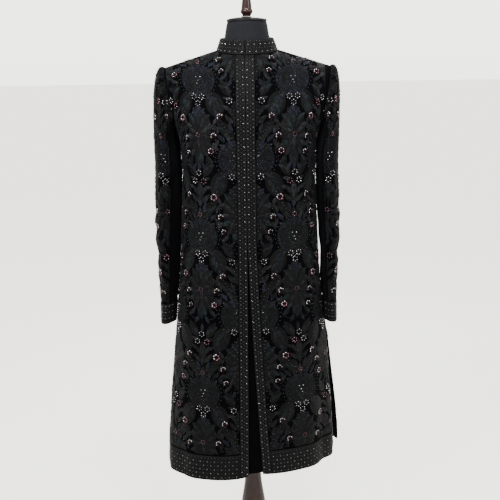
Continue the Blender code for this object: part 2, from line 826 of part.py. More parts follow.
def turned(name, profile, segments, material_name, centre_y=0.0):
    """A solid of revolution: the profile is spun about an upright axis and closed at both ends."""

    def make(bm):
        verts = [bm.verts.new((radius, centre_y, z)) for radius, z in profile]
        edges = [bm.edges.new(pair) for pair in zip(verts, verts[1:])]
        bmesh.ops.spin(
            bm,
            geom=verts + edges,
            cent=(0, centre_y, 0),
            axis=(0, 0, 1),
            angle=2 * math.pi,
            steps=segments,
            use_merge=True,
        )
        bmesh.ops.remove_doubles(bm, verts=bm.verts[:], dist=1e-6)
        bmesh.ops.holes_fill(bm, edges=bm.edges[:], sides=0)
        bmesh.ops.recalc_face_normals(bm, faces=bm.faces[:])
        bmesh.ops.triangulate(bm, faces=bm.faces[:])

    return add_object(name, make, material_name)


def main():
    clear_scene()
    for panel in ("right_front", "left_front", "back"):
        make_panel(panel)
        make_hem_border(panel + "_hem_border", panel)
    make_placket_border("right_placket_border", "right_front")
    make_placket_border("left_placket_border", "left_front")
    make_under_placket()
    make_collar()
    make_sleeve("right", -1.0)
    make_sleeve("left", 1.0)
    make_form()
    turned("neck_cap", NECK_CAP_PROFILE, 32, "cap_metal", NECK_CENTRE_Y)
    turned("washer", WASHER_PROFILE, 16, "pole_steel", NECK_CENTRE_Y)
    turned("finial", FINIAL_PROFILE, 16, "dark_wood", NECK_CENTRE_Y)
    pole = ((POLE_RADIUS, POLE_BOTTOM_Z), (POLE_RADIUS, POLE_TOP_Z))
    turned("pole", pole, 24, "pole_steel")
    turned("stand_column", COLUMN_PROFILE, 28, "dark_wood")
    turned("stand_base", BASE_PROFILE, 48, "dark_wood")


main()
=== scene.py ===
"""Looks of a knee-length embroidered sherwani coat on its dress form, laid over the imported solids.

The cloth repeats the source's own curves on a finer grid, takes soft creases on top of them, and every
leaf, bead, stud and stitch is then placed on it by its distance round the body and its height.
"""

import math
from functools import lru_cache

import bmesh
import bpy
import numpy as np
from bpy.props import FloatProperty, FloatVectorProperty, IntProperty, PointerProperty
from mathutils import Matrix, Vector
from mathutils.bvhtree import BVHTree


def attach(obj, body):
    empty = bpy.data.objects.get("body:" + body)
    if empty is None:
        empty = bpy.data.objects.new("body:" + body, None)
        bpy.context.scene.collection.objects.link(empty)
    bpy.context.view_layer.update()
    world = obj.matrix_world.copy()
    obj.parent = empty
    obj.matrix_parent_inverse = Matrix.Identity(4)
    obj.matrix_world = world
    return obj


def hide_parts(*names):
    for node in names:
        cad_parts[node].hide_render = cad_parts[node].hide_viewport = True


bl_info = {
    "name": "Embroidered sherwani coat",
    "version": (1, 0, 0),
    "blender": (4, 5, 0),
    "location": "3D View > Sidebar > Sherwani",
    "description": "Velvet, embroidery, beads, studs and stand finishes laid over the packed coat",
    "category": "Object",
}

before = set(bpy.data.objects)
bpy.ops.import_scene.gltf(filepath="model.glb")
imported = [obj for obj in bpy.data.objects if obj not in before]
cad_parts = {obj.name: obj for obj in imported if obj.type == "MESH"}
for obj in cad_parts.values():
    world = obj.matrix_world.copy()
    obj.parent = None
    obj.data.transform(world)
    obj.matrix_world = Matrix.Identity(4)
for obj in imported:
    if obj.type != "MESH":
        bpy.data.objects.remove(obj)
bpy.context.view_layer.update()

# Cloth and seams, as in the source
WALL = 0.0024
SEAM_GAP = 0.0004
BORDER_WALL = 0.0012
BORDER_LIFT = 0.0003
HEM_Z = 0.372
SLIT_TOP_Z = 0.800
CHEST_Z = 1.250
OPEN_FROM_Z = 1.020

# Horizontal sections of the coat: z, half width, front, back, side y, squareness
SECTIONS = (
    (0.372, 0.2310, 0.1400, 0.1350, 0.045, 3.3),
    (0.470, 0.2245, 0.1385, 0.1310, 0.036, 3.2),
    (0.600, 0.2135, 0.1360, 0.1260, 0.026, 3.0),
    (0.720, 0.2020, 0.1340, 0.1210, 0.016, 2.9),
    (0.800, 0.1935, 0.1320, 0.1170, 0.010, 2.8),
    (0.920, 0.1815, 0.1290, 0.1100, 0.006, 2.7),
    (1.080, 0.1725, 0.1260, 0.1030, 0.004, 2.6),
    (1.180, 0.1700, 0.1260, 0.1070, 0.004, 2.6),
    (1.250, 0.1720, 0.1240, 0.1120, 0.004, 2.6),
)

# Front opening and side slits
CLOSURE_X = -0.006
EDGE_GAP = 0.0006
RIGHT_EDGE_DRIFT = 0.0055
LEFT_EDGE_DRIFT = 0.0320
RIGHT_EDGE_ROLL = 0.0150
ROLL_REACH = 0.022
LEFT_EDGE_SET_BACK = 0.012
SET_BACK_REACH = 0.060
LEFT_SIDE_SWING = 0.300
BACK_SWING_BELOW_SLIT = 0.030
LEFT_HEM_RISE = 0.005
EDGE_HEM_RISE = 0.005
RIGHT_SLIT_CUT = 0.012
LEFT_SLIT_CUT = 0.036
BACK_SLIT_CUT = 0.034
BACK_FLARE = 0.013
FLARE_REACH = 0.050
CORNER_DROP = 0.009
CORNER_REACH = 0.070

# Soft folds of the source's panels: distance from the centre line, top, depth at the hem, half width
FOLDS = {
    "left_front": (
        (0.236, 0.88, 0.0070, 0.017), (0.203, 0.80, -0.0060, 0.016), (0.160, 0.72, 0.0040, 0.022),
    ),
    "right_front": (
        (-0.245, 0.86, 0.0045, 0.018), (-0.195, 0.76, -0.0045, 0.020),
    ),
    "back": (
        (-0.215, 0.88, 0.0070, 0.021), (-0.160, 0.80, -0.0060, 0.022), (-0.060, 0.74, 0.0050, 0.026),
        (0.055, 0.82, -0.0055, 0.024), (0.130, 0.86, 0.0060, 0.024), (0.205, 0.80, -0.0055, 0.021),
    ),
}
CHEST_FOLDS = {
    "left_front": (
        (0.176, 1.20, -0.0035, 0.018),
    ),
    "right_front": (
        (-0.178, 1.20, -0.0035, 0.018),
    ),
    "back": (
        (0.165, 1.19, -0.0035, 0.020), (-0.165, 1.19, -0.0035, 0.020),
    ),
}
CHEST_FOLD_HALF_HEIGHT = 0.075

# Neck seam, shoulders and borders
NECK_HALF_WIDTH = 0.0760
NECK_FRONT = 0.0720
NECK_BACK = 0.0580
NECK_Z = 1.4725
NECK_TILT = 0.0130
NECK_CENTRE_Y = -0.006
SHOULDER_TIP = Vector((0.2060, 0.0040, 1.4320))
NECK_SHARE = 0.42
PLACKET_WIDTH = 0.022
PLACKET_SHARE = 0.08
UNDER_PLACKET_WALL = 0.0016
UNDER_PLACKET_SLACK = 0.0012
UNDER_PLACKET_HEM_R = 0.003
HEM_BORDER_HEIGHT = 0.068
CUFF_BORDER_HEIGHT = 0.054
HEM_BORDER_R = HEM_BORDER_HEIGHT / (CHEST_Z - HEM_Z)

# Stand collar
COLLAR_WALL = 0.0028
COLLAR_TOP_HALF_WIDTH = 0.0655
COLLAR_TOP_FRONT = 0.0600
COLLAR_TOP_BACK = 0.0500
COLLAR_TOP_Z = 1.5005
COLLAR_TOP_TILT = 0.0055
COLLAR_OPENING = 0.0030
COLLAR_HEIGHT = 0.036
COLLAR_RADIUS = 0.070

# Sleeve sections: z, centre x, centre y, half x, half y
SLEEVE_SECTIONS = (
    (0.782, 0.2162, -0.024, 0.0135, 0.0600),
    (0.836, 0.2145, -0.017, 0.0150, 0.0620),
    (0.890, 0.2130, -0.009, 0.0180, 0.0650),
    (0.960, 0.2130, -0.001, 0.0220, 0.0690),
    (1.040, 0.2110, 0.003, 0.0265, 0.0735),
    (1.120, 0.2075, 0.003, 0.0275, 0.0770),
    (1.200, 0.2050, 0.001, 0.0270, 0.0800),
)
SLEEVE_TOP_Z = 1.200
SLEEVE_BOTTOM_Z = 0.782
SLEEVE_HANG = {"right": 0.0055, "left": -0.0050}
SLEEVE_SQUARENESS = 2.3
CUFF_TILT = 0.10
CUFF_TILT_REACH = 0.12
CUFF_BORDER_V = CUFF_BORDER_HEIGHT / (SLEEVE_TOP_Z - SLEEVE_BOTTOM_Z)
ELBOW_FOLDS = ((1.035, -0.0030, 0.012), (1.000, 0.0025, 0.012), (0.965, -0.0025, 0.011))

# How near a seam the cloth lies still, in the source's columns and rows
SHOULDER_CALM = 0.05
ARMHOLE_CALM = 0.04
SLEEVE_HEAD_CALM = 0.06
COLLAR_SEAM_CALM = 0.2
# How far a sleeve is held off the body: at the cuff, along it, and near the armhole
CUFF_CLEARANCE = 0.0034
SLEEVE_CLEARANCE = 0.0012
ARMHOLE_CLEARANCE = 0.0006
# How high up a sleeve this goes, how near the body has to be, and how far from square to it a point may lie
HELD_UP_TO = 1.6
BODY_REACH = 0.03
BESIDE = 0.004
# Finding a place of the flat cloth in a grid: steps, the longest in cells, and how far off still counts
SEARCH_STEPS = 7
SEARCH_STRIDE = 8
OFF_CLOTH = 0.003

# Creases placed on each piece: start across, start up, end across, end up, half width, depth
CREASES = {
    "right_front": (
        (-0.225, 1.150, -0.120, 1.105, 0.011, -0.0016), (-0.232, 1.120, -0.150, 1.060, 0.009, 0.0014),
        (-0.228, 1.085, -0.110, 1.060, 0.010, -0.0014), (-0.205, 1.300, -0.110, 1.215, 0.013, -0.0010),
        (-0.170, 1.420, -0.150, 1.290, 0.012, 0.0016), (-0.250, 0.790, -0.180, 0.560, 0.014, 0.0020),
        (-0.120, 0.760, -0.135, 0.440, 0.018, -0.0018), (-0.060, 0.900, -0.072, 0.420, 0.020, 0.0014),
    ),
    "left_front": (
        (0.226, 1.140, 0.120, 1.095, 0.011, -0.0018), (0.230, 1.105, 0.150, 1.050, 0.009, 0.0015),
        (0.205, 1.300, 0.115, 1.205, 0.013, -0.0010), (0.170, 1.420, 0.148, 1.300, 0.012, 0.0017),
        (0.225, 0.900, 0.180, 0.640, 0.012, -0.0022), (0.110, 0.850, 0.125, 0.430, 0.018, 0.0018),
        (0.065, 0.900, 0.080, 0.420, 0.020, -0.0014),
    ),
    "back": (
        (-0.150, 1.330, -0.085, 1.130, 0.014, -0.0022), (0.155, 1.325, 0.080, 1.120, 0.014, -0.0022),
        (-0.120, 1.095, 0.020, 1.075, 0.011, -0.0016), (-0.020, 1.060, 0.140, 1.085, 0.012, 0.0016),
        (-0.200, 1.060, -0.090, 1.020, 0.011, -0.0018), (0.210, 1.050, 0.100, 1.010, 0.011, -0.0018),
        (-0.060, 1.420, 0.060, 1.425, 0.012, 0.0014), (0.005, 0.950, 0.010, 0.420, 0.020, 0.0020),
        (-0.110, 0.860, -0.125, 0.400, 0.018, -0.0020),
    ),
    "right_sleeve": (
        (-0.120, 1.110, 0.060, 1.060, 0.013, -0.0024), (-0.090, 1.040, 0.050, 1.075, 0.010, 0.0018),
        (-0.100, 0.960, 0.090, 0.995, 0.012, -0.0022), (-0.130, 1.180, -0.040, 1.120, 0.014, -0.0026),
        (0.130, 1.180, 0.050, 1.130, 0.014, -0.0024), (-0.060, 1.385, -0.075, 1.215, 0.014, -0.0024),
        (0.070, 1.380, 0.080, 1.220, 0.013, -0.0020), (-0.040, 0.940, -0.020, 0.860, 0.010, 0.0014),
    ),
    "left_sleeve": (
        (-0.115, 1.120, 0.070, 1.070, 0.013, -0.0024), (-0.095, 1.020, 0.060, 1.060, 0.011, 0.0018),
        (-0.090, 0.980, 0.100, 0.950, 0.012, -0.0020), (-0.125, 1.190, -0.035, 1.135, 0.014, -0.0026),
        (0.130, 1.175, 0.045, 1.140, 0.013, -0.0022), (-0.062, 1.380, -0.080, 1.210, 0.013, -0.0022),
        (0.068, 1.385, 0.078, 1.230, 0.013, -0.0022), (0.030, 0.930, 0.020, 0.850, 0.010, -0.0014),
    ),
}

# Where the cloth of a piece stands fuller than its solid: side, reach, low, high, depth
FULLNESS = {
    "right_sleeve": (
        (0, 0.036, 0.74, 1.26, 0.0125), (0, 0.034, 0.78, 1.04, 0.0042), (0, 0.030, 1.11, 1.27, 0.0024),
        (0, 0.030, 1.15, 1.23, 0.0020), (0, 0.030, 0.70, 0.86, 0.0045),
    ),
    "right_front": (
        (-1, 0.045, 0.76, 1.17, 0.0030), (-1, 0.050, 0.05, 0.76, 0.0045),
    ),
    "back": (
        (-1, 0.045, 0.76, 1.17, 0.0030), (1, 0.060, -0.06, 0.81, 0.0095),
    ),
    "left_sleeve": (
        (0, 0.030, 0.86, 1.15, 0.0018), (0, 0.034, 0.72, 0.95, 0.0042), (0, 0.030, 0.80, 0.92, 0.0025),
        (0, 0.030, 0.70, 0.86, 0.0030),
    ),
}

# Turned pieces: radius and height
NECK_CAP_PROFILE = (
    (0.0470, 1.5381), (0.0490, 1.5394), (0.0492, 1.5428), (0.0468, 1.5452), (0.0300, 1.5484),
    (0.0125, 1.5496),
)
WASHER_PROFILE = ((0.0112, 1.5497), (0.0128, 1.5500), (0.0128, 1.5514), (0.0112, 1.5519))
FINIAL_PROFILE = (
    (0.0098, 1.5520), (0.0112, 1.5560), (0.0140, 1.5598), (0.0148, 1.5635), (0.0140, 1.5670),
    (0.0126, 1.5700), (0.0121, 1.5760), (0.0112, 1.5850), (0.0102, 1.5940), (0.0092, 1.6060),
    (0.0094, 1.6105), (0.0118, 1.6150), (0.0145, 1.6220), (0.0150, 1.6300), (0.0122, 1.6395),
    (0.0055, 1.6450),
)
COLUMN_PROFILE = (
    (0.0520, 0.0293), (0.0550, 0.0380), (0.0400, 0.0520), (0.0285, 0.0800), (0.0270, 0.1050),
    (0.0350, 0.1350), (0.0400, 0.1600), (0.0400, 0.1800), (0.0365, 0.2100), (0.0320, 0.2400),
    (0.0265, 0.2750), (0.0228, 0.3060), (0.0215, 0.3300), (0.0200, 0.3660),
)
BASE_PROFILE = (
    (0.2050, 0.0000), (0.2080, 0.0060), (0.2080, 0.0150), (0.1990, 0.0230), (0.1750, 0.0270),
    (0.0600, 0.0290),
)
TURNED_SMOOTH = 35
# The form's neck: z, tilt, half width, front and back
FORM_NECK = (
    (1.4800, 0.0110, 0.0640, 0.0610, 0.0490),
    (1.4930, 0.0090, 0.0575, 0.0575, 0.0455),
    (1.5120, 0.0050, 0.0535, 0.0550, 0.0430),
    (1.5320, 0.0010, 0.0500, 0.0550, 0.0430),
    (1.5380, 0.0000, 0.0480, 0.0540, 0.0420),
)

# One repeat of the embroidery, in millimetres from the middle of its medallion. A leaf is across, up,
# length, width, degrees from upright, and its thread's colour; each has a twin on the other side.
LEAVES = (
    (10, -86, 27, 13, 32, 1), (21, -99, 31, 15, 52, 2), (29, -120, 28, 14, 78, 0),
    (13, -112, 26, 13, 28, 2), (17, -131, 24, 12, 64, 0), (30, -145, 28, 14, 96, 0),
    (15, -148, 26, 12, 112, 1), (27, -166, 30, 14, 122, 2), (12, -169, 26, 12, 156, 0),
    (18, -186, 28, 12, 146, 0), (7, -200, 28, 12, 166, 2), (30, -42, 25, 12, 118, 0),
    (38, -49, 30, 14, 104, 1), (46, -60, 30, 15, 124, 2), (33, -62, 27, 13, 178, 0),
    (41, -75, 28, 14, 190, 2), (53, -76, 28, 13, 148, 0), (49, -92, 28, 13, 172, 1),
    (44, -107, 22, 10, 30, 3), (46, -126, 24, 11, 152, 0), (43, -172, 24, 11, 150, 3),
    (29, -206, 28, 12, 138, 0), (14, -224, 24, 11, 150, 1), (46, 40, 24, 11, -22, 0),
    (14, 37, 26, 13, 20, 1), (30, 31, 25, 13, 44, 0), (36, 54, 27, 12, 46, 1), (19, 57, 25, 12, 22, 0),
    (33, 76, 27, 12, 62, 2), (13, 79, 27, 12, 20, 1), (16, 101, 30, 13, 44, 0), (14, 124, 24, 11, 28, 2),
    (25, 131, 22, 10, 62, 3), (45, 74, 20, 9, 12, 3), (20, 153, 22, 10, 72, 0), (17, 176, 24, 11, 34, 0),
    (31, 184, 24, 11, 62, 2),
)
MIDDLE_LEAVES = (
    (0, -76, 30, 17, 0, 1), (0, -100, 26, 13, 0, 2), (0, -160, 26, 13, 180, 0), (0, -182, 28, 14, 180, 1),
    (0, -210, 28, 14, 180, 2), (0, 122, 38, 20, 180, 3), (0, 92, 26, 13, 0, 2), (0, 66, 22, 12, 0, 0),
    (0, 42, 26, 14, 0, 1), (0, 186, 24, 11, 0, 1),
)
# Low stitched grounds under the leaves: across, up, length, degrees from upright, mirrored, and half widths
# at even steps along
GROUNDS = (
    (0, -141, 156, 180, False, (1, 13, 22, 30, 35, 37, 37, 36, 34, 31, 25, 15, 6, 1)),
    (0, -1, 90, 180, False, (9, 27, 37, 42, 44, 45, 44.5, 43, 40, 34, 25, 10)),
    (45, -68, 82, 160, True, (3, 13, 19, 22, 23, 22, 19, 14, 7, 1)),
    (0, 116, 62, 180, False, (2, 7, 10, 12, 12, 10, 7, 3)),
    (27, 78, 74, 40, True, (2, 9, 13, 14, 13, 9, 5, 1)),
    (24, 180, 50, 30, True, (1, 8, 11, 12, 10, 6, 1)),
)
# Stems: the four guiding points of a curve, on both sides
STEMS = (
    ((5, -214), (16, -232), (34, -222), (44, -200)),
    ((4, 150), (16, 158), (24, 176), (20, 206)),
    ((26, 44), (33, 60), (24, 72), (8, 70)),
    ((40, -108), (34, -124), (50, -140), (44, -160)),
)
# Bead flowers: across, up, radius and kind (0 silver, 1 silver and rose, 2 ring of small beads, 3 rose ring)
FLOWERS = (
    (-11, -44, 8.4, 2), (11, -44, 8.4, 2), (0, -61, 8.4, 2), (-2, -142, 6.4, 3), (40, -144, 7.4, 0),
    (-40, -149, 7.0, 0), (33, -182, 7.4, 1), (-33, -188, 6.4, 0), (-2, 168, 8.4, 2), (-14, 147, 8.4, 2),
    (12, 147, 8.4, 3), (37, 106, 8.4, 1), (-38, 108, 7.4, 0), (-1, 59, 6.8, 3),
)
# Single flowers above each cuff: across and up on the sleeve, radius and kind
CUFF_FLOWERS = ((-0.064, 0.868, 7.2, 0), (-0.026, 0.908, 7.2, 1))
# Rings of a medallion: petals, radius, length, width, and whether it is turned by half a petal
RINGS = (
    (46, 41.5, 10, 6.4, 0),
    (38, 33.0, 10, 6.4, 1),
    (27, 24.5, 10, 6.6, 0),
    (18, 16.0, 10, 6.4, 0),
    (9, 7.5, 9, 6.0, 1),
)
# How far each row of medallions stands above or below an even spacing
UNEVEN_ROWS = (0.0, -0.0085, 0.0080, 0.0, 0.0)
CENTRE_STUDS = ((-5, 9), (6, 10), (1, 0), (-2, -8))
BOSS_BEADS = ((-10, -13), (-5, -17), (0, -19), (5, -17), (10, -13), (0, -27), (-14, -3), (14, -3))
DRAWN_REPEAT = 0.415
THREADS = ("charcoal", "navy", "teal", "smoke")
COAT_PIECES = ("right_front", "left_front", "back", "right_sleeve", "left_sleeve")
# The part of each piece that carries embroidery: columns from and to, rows from and to
EMBROIDERED = {
    "right_front": (PLACKET_SHARE + 0.004, 0.988, HEM_BORDER_R + 0.004, 1.982),
    "left_front": (PLACKET_SHARE + 0.004, 0.945, HEM_BORDER_R + 0.004, 1.982),
    "back": (0.006, 0.994, HEM_BORDER_R + 0.004, 1.982),
    "right_sleeve": (0.170, 0.830, CUFF_BORDER_V + 0.005, 1.975),
    "left_sleeve": (0.170, 0.830, CUFF_BORDER_V + 0.005, 1.975),
}
# What a flower's beads are made of: piece and finish. A petal's finish is its place in this table
FLOWER_FINISHES = (
    ("silver_petals", "silver_beads"),
    ("rose_petals", "rose_beads"),
    ("ring_beads", "silver_beads"),
    # Dark hearts, and the silver flowers' lower petals painted dark as shade
    ("flower_hearts", "plum_beads"),
    ("flower_halos", "plum_beads"),
)
HEART_AND_SHADE, HALO = 3, 4
# The finish of each of the six petals, for each kind of flower. On a silver flower the two lower petals take
# the dark heart finish: painted shade, which leaves a C of lit silver petals.
PETAL_FINISHES = ((0, 0, HEART_AND_SHADE, HEART_AND_SHADE, 0, 0), (0, 1, 1, 1, 0, 0), (2,) * 6, (1,) * 6)

# How far leaf edges go under the cloth, and the area below which a face counts as pressed flat
LEAF_TUCK = 0.0003
FLAT_AREA = 4e-10
# Stitched grounds and stems: how far they stand out, and a stem's half width
GROUND_HEIGHT = 0.0006
STEM_HEIGHT = 0.0010
STEM_HALF_WIDTH = 0.0011
# Shares of a flower's radius: how far out its beads stand and their size, and the radius that has a halo
PETAL_REACH, PETAL_SIZE, PETAL_LENGTH = 0.82, 0.25, 1.55
RING_REACH, RING_SIZE = 0.76, 0.22
HEART_SIZE = 0.55
HALO_REACH = 1.42
HALO_FROM = 0.0071
FLOWER_SEAT = 0.0009
# Studs and stitches, and their heights on the borders
BAND_LIFT = BORDER_LIFT + BORDER_WALL
STUD_SEAT = 0.0001
HEM_STUD_HEIGHTS = (0.0080, 0.0190, 0.0300, 0.0410, 0.0520)
CUFF_STUD_HEIGHTS = (0.0065, 0.0150, 0.0235, 0.0320, 0.0405, 0.0480)
CUFF_STUDS = 28
SIDE_EDGE = 0.985
BORDER_EDGES = (0.0025, HEM_BORDER_HEIGHT - 0.0018)
CUFF_EDGES = (0.0022, CUFF_BORDER_HEIGHT - 0.0018)

# The photograph's camera: focal length and picture in pixels, the drop of its aim, its place and its roll
FOCAL_PIXELS = 770
PICTURE_PIXELS = 500
CAMERA_DROP = FOCAL_PIXELS / 3350
CAMERA_PLACE = (0, -1.977, 1.416)
CAMERA_ROLL = -0.82
# The studio: how bright its wall is from the floor up, and how much brighter wall and floor look
STUDIO_WALL = ((0.0, 1.15), (0.12, 1.3), (0.4, 1.5), (0.8, 0.7))
WALL_GLOW = 3.6
FLOOR_GLOW = 2.2
# Lamps: place, what each is aimed at, size and power
LAMPS = {
    "key": ((-1.2, -1.7, 2.9), (0, 0, 1.3), 0.5, 62),
    "fill": ((2.0, -1.7, 2.3), (0, 0, 1.2), 0.9, 22),
    "rim": ((0.6, 2.4, 2.8), (0, 0, 1.2), 1.2, 40),
    "top": ((0.2, -0.9, 2.9), (0, 0, 1.2), 0.4, 34),
}


# Small mathematics


def mix(a, b, share):
    return a + (b - a) * share


def ease(share):
    share = min(1.0, max(0.0, share))
    return share * share * (3.0 - 2.0 * share)


def bell(distance, half_width):
    return math.exp(-((distance / half_width) ** 2))


def even(start, end, parts):
    return [mix(start, end, i / parts) for i in range(parts + 1)]


def from_table(table, z):
    """Reads the columns of a table at height z, on a smooth curve through its rows."""
    z = min(max(z, table[0][0]), table[-1][0])
    last = len(table) - 2
    k = next((i for i in range(last + 1) if z <= table[i + 1][0]), last)
    low, high = table[k], table[k + 1]
    before, after = table[max(k - 1, 0)], table[min(k + 2, last + 1)]
    step = high[0] - low[0]
    t = (z - low[0]) / step
    values = []
    for column in range(1, len(low)):
        slope_low = (high[column] - before[column]) / (high[0] - before[0])
        slope_high = (after[column] - low[column]) / (after[0] - low[0])
        values.append(
            (2 * t**3 - 3 * t**2 + 1) * low[column]
            + (t**3 - 2 * t**2 + t) * step * slope_low
            + (3 * t**2 - 2 * t**3) * high[column]
            + (t**3 - t**2) * step * slope_high
        )
    return values


def bezier(a, b, c, d, t):
    s = 1.0 - t
    return a * s**3 + b * (3 * s * s * t) + c * (3 * s * t * t) + d * t**3


def super_curve(half_width, depth, squareness, steps=120):
    """A quarter of a rounded rectangle, from the centre line to the side: (arc, x, depth) for each point."""
    points = []
    arc = 0.0
    for i in range(steps + 1):
        angle = ease(i / steps) * math.pi / 2
        x = half_width * math.sin(angle) ** (2 / squareness)
        y = depth * math.cos(angle) ** (2 / squareness) if i < steps else 0.0
        if points:
            arc += math.hypot(x - points[-1][1], y - points[-1][2])
        points.append((arc, x, y))
    return points


def along(curve, arc):
    """The point of a curve at that distance along it."""
    low, high = 0, len(curve) - 1
    while high - low > 1:
        middle = (low + high) // 2
        if curve[middle][0] <= arc:
            low = middle
        else:
            high = middle
    a, b = curve[low], curve[high]
    t = (arc - a[0]) / max(b[0] - a[0], 1e-9)
    return mix(a[1], b[1], t), mix(a[2], b[2], t)


# The source's surfaces


@lru_cache(maxsize=None)
def section(level, front):
    """The front or back quarter of the coat's section at that height in tenths of a millimetre."""
    half_width, front_y, back_y, side_y, squareness = from_table(SECTIONS, level / 10000)
    depth = front_y + side_y if front else back_y - side_y
    return tuple(super_curve(half_width, depth, squareness)), side_y


def open_share(z):
    """How far the coat has fallen open at that height: 0 where it is closed, 1 at the hem."""
    return max(0.0, (OPEN_FROM_Z - z) / (OPEN_FROM_Z - HEM_Z)) ** 1.3


def slit_share(z):
    return max(0.0, (SLIT_TOP_Z - z) / (SLIT_TOP_Z - HEM_Z)) ** 1.2


def side_swing(panel, z):
    """How far the wearer's left side of a panel swings back, for each metre from the centre line."""
    if panel == "back":
        return LEFT_SIDE_SWING * open_share(max(z, SLIT_TOP_Z)) + BACK_SWING_BELOW_SLIT * slit_share(z)
    return LEFT_SIDE_SWING * open_share(z)


def fold_depth(panel, place, z):
    depth = 0.0
    for centre, top, size, half_width in FOLDS[panel]:
        depth += size * ease((top - z) / (top - HEM_Z)) * bell(place - centre, half_width)
    for centre, middle, size, half_width in CHEST_FOLDS[panel]:
        depth += size * bell(z - middle, CHEST_FOLD_HALF_HEIGHT) * bell(place - centre, half_width)
    return depth


def quarter_point(panel, place, z):
    """A point of the coat's body: place is the distance round from the centre line, negative at -X."""
    front = panel != "back"
    curve, side_y = section(round(z * 10000), front)
    arc = min(abs(place), curve[-1][0])
    x, depth = along(curve, arc)
    ahead = along(curve, min(arc + 0.002, curve[-1][0]))
    behind = along(curve, max(arc - 0.002, 0.0))
    run = math.hypot(ahead[0] - behind[0], ahead[1] - behind[1])
    out_x = (behind[1] - ahead[1]) / run
    out_depth = (ahead[0] - behind[0]) / run
    push = fold_depth(panel, place, z)
    side = -1.0 if place < 0 else 1.0
    facing = -1.0 if front else 1.0
    return Vector((side * (x + out_x * push), side_y + facing * (depth + out_depth * push), z))


def panel_run(panel, z):
    """Where a panel starts and ends round the body at that height."""
    curve, _ = section(round(z * 10000), panel != "back")
    full = curve[-1][0] - SEAM_GAP / 2
    if panel == "back":
        side = full - BACK_SLIT_CUT * slit_share(z)
        return -side, side
    if panel == "left_front":
        edge = CLOSURE_X + EDGE_GAP / 2 + LEFT_EDGE_DRIFT * open_share(z)
        return edge, full - LEFT_SLIT_CUT * slit_share(z)
    return CLOSURE_X - EDGE_GAP / 2 - RIGHT_EDGE_DRIFT * open_share(z), RIGHT_SLIT_CUT * slit_share(z) - full


def place_on(panel, c, start, end):
    """The place at column c: the placket border keeps its width, and the rest is shared out evenly."""
    if panel == "back":
        return mix(start, end, c)
    direction = 1.0 if end > start else -1.0
    border_end = start + direction * PLACKET_WIDTH
    if c <= PLACKET_SHARE:
        return mix(start, border_end, c / PLACKET_SHARE)
    return mix(border_end, end, (c - PLACKET_SHARE) / (1 - PLACKET_SHARE))


def body_point(panel, c, z):
    start, end = panel_run(panel, z)
    place = place_on(panel, c, start, end)
    point = quarter_point(panel, place, z)
    fallen = open_share(z)
    point.y += side_swing(panel, z) * max(point.x, 0.0)
    if panel == "left_front":
        point.y += LEFT_EDGE_SET_BACK * fallen * math.exp(-place / SET_BACK_REACH)
    elif panel == "right_front":
        point.y += RIGHT_EDGE_ROLL * fallen * math.exp(-abs(place - start) / ROLL_REACH)
    else:
        edge = math.exp(-min(abs(place - start), abs(place - end)) / FLARE_REACH)
        point.x += math.copysign(BACK_FLARE * slit_share(z) * edge, point.x)
    return point


def neck_ring(angle):
    """The neck seam: angle 0 is the centre front and a right angle the shoulder."""
    depth = NECK_FRONT if math.cos(angle) > 0 else NECK_BACK
    x = NECK_HALF_WIDTH * math.sin(angle)
    return Vector((x, -depth * math.cos(angle), NECK_Z - NECK_TILT * math.cos(angle)))


def top_point(panel, c):
    """The top edge of a panel: along the neck seam, then down the shoulder seam to its tip."""
    if panel == "back":
        reach = abs(2 * c - 1)
        side = -1.0 if c < 0.5 else 1.0
        start_angle = math.pi
    else:
        reach = c
        side = 1.0 if panel == "left_front" else -1.0
        start_angle = side * (CLOSURE_X + side * EDGE_GAP / 2) / NECK_HALF_WIDTH
    if reach <= NECK_SHARE:
        border_angle = PLACKET_WIDTH / NECK_FRONT
        if panel == "back":
            angle = mix(start_angle, math.pi / 2, reach / NECK_SHARE)
        elif reach <= PLACKET_SHARE:
            angle = start_angle + border_angle * reach / PLACKET_SHARE
        else:
            share = (reach - PLACKET_SHARE) / (NECK_SHARE - PLACKET_SHARE)
            angle = mix(start_angle + border_angle, math.pi / 2, share)
        point = neck_ring(angle)
    else:
        point = neck_ring(math.pi / 2).lerp(SHOULDER_TIP, (reach - NECK_SHARE) / (1 - NECK_SHARE))
    point.y += SEAM_GAP / 2 * (1.0 if panel == "back" else -1.0)
    return Vector((side * point.x, point.y, point.z))


def yoke_point(panel, c, t):
    """The part above the armpits: t is 0 at the chest line and 1 at the neck and shoulder."""
    chest = body_point(panel, c, CHEST_Z)
    top = top_point(panel, c)
    back = panel == "back"
    reach = abs(2 * c - 1) if back else c
    side = -1.0 if chest.x < 0 else 1.0
    facing = 1.0 if back else -1.0
    outer = ease((reach - 0.55) / 0.45)
    rise = Vector((0, 0.010 * back, 0.112))
    scoop = Vector((0.006 * side, 0.084 * facing, 0.045))
    neck_slope = Vector((0, 0.027 * facing, -0.052))
    shoulder_slope = Vector((0, 0.048 * facing, -0.026))
    tip_slope = Vector((0, 0.066 * facing, -0.028))
    slope = neck_slope.lerp(shoulder_slope, min(reach / NECK_SHARE, 1.0))
    slope = slope.lerp(tip_slope, ease((reach - NECK_SHARE) / (1 - NECK_SHARE)))
    return bezier(chest, chest + rise.lerp(scoop, outer), top + slope, top, t)


def hem_z(panel, c):
    z = HEM_Z
    if panel == "left_front":
        z += LEFT_HEM_RISE
    if panel != "back":
        z += EDGE_HEM_RISE * math.exp(-c / 0.10)
    return z


def coat_point(panel, c, r):
    """A point of a body panel's outer surface: r is 0 at the hem, 1 at the chest line and 2 at the top."""
    if r <= 1.0:
        return body_point(panel, c, mix(hem_z(panel, c), CHEST_Z, r))
    return yoke_point(panel, c, r - 1.0)


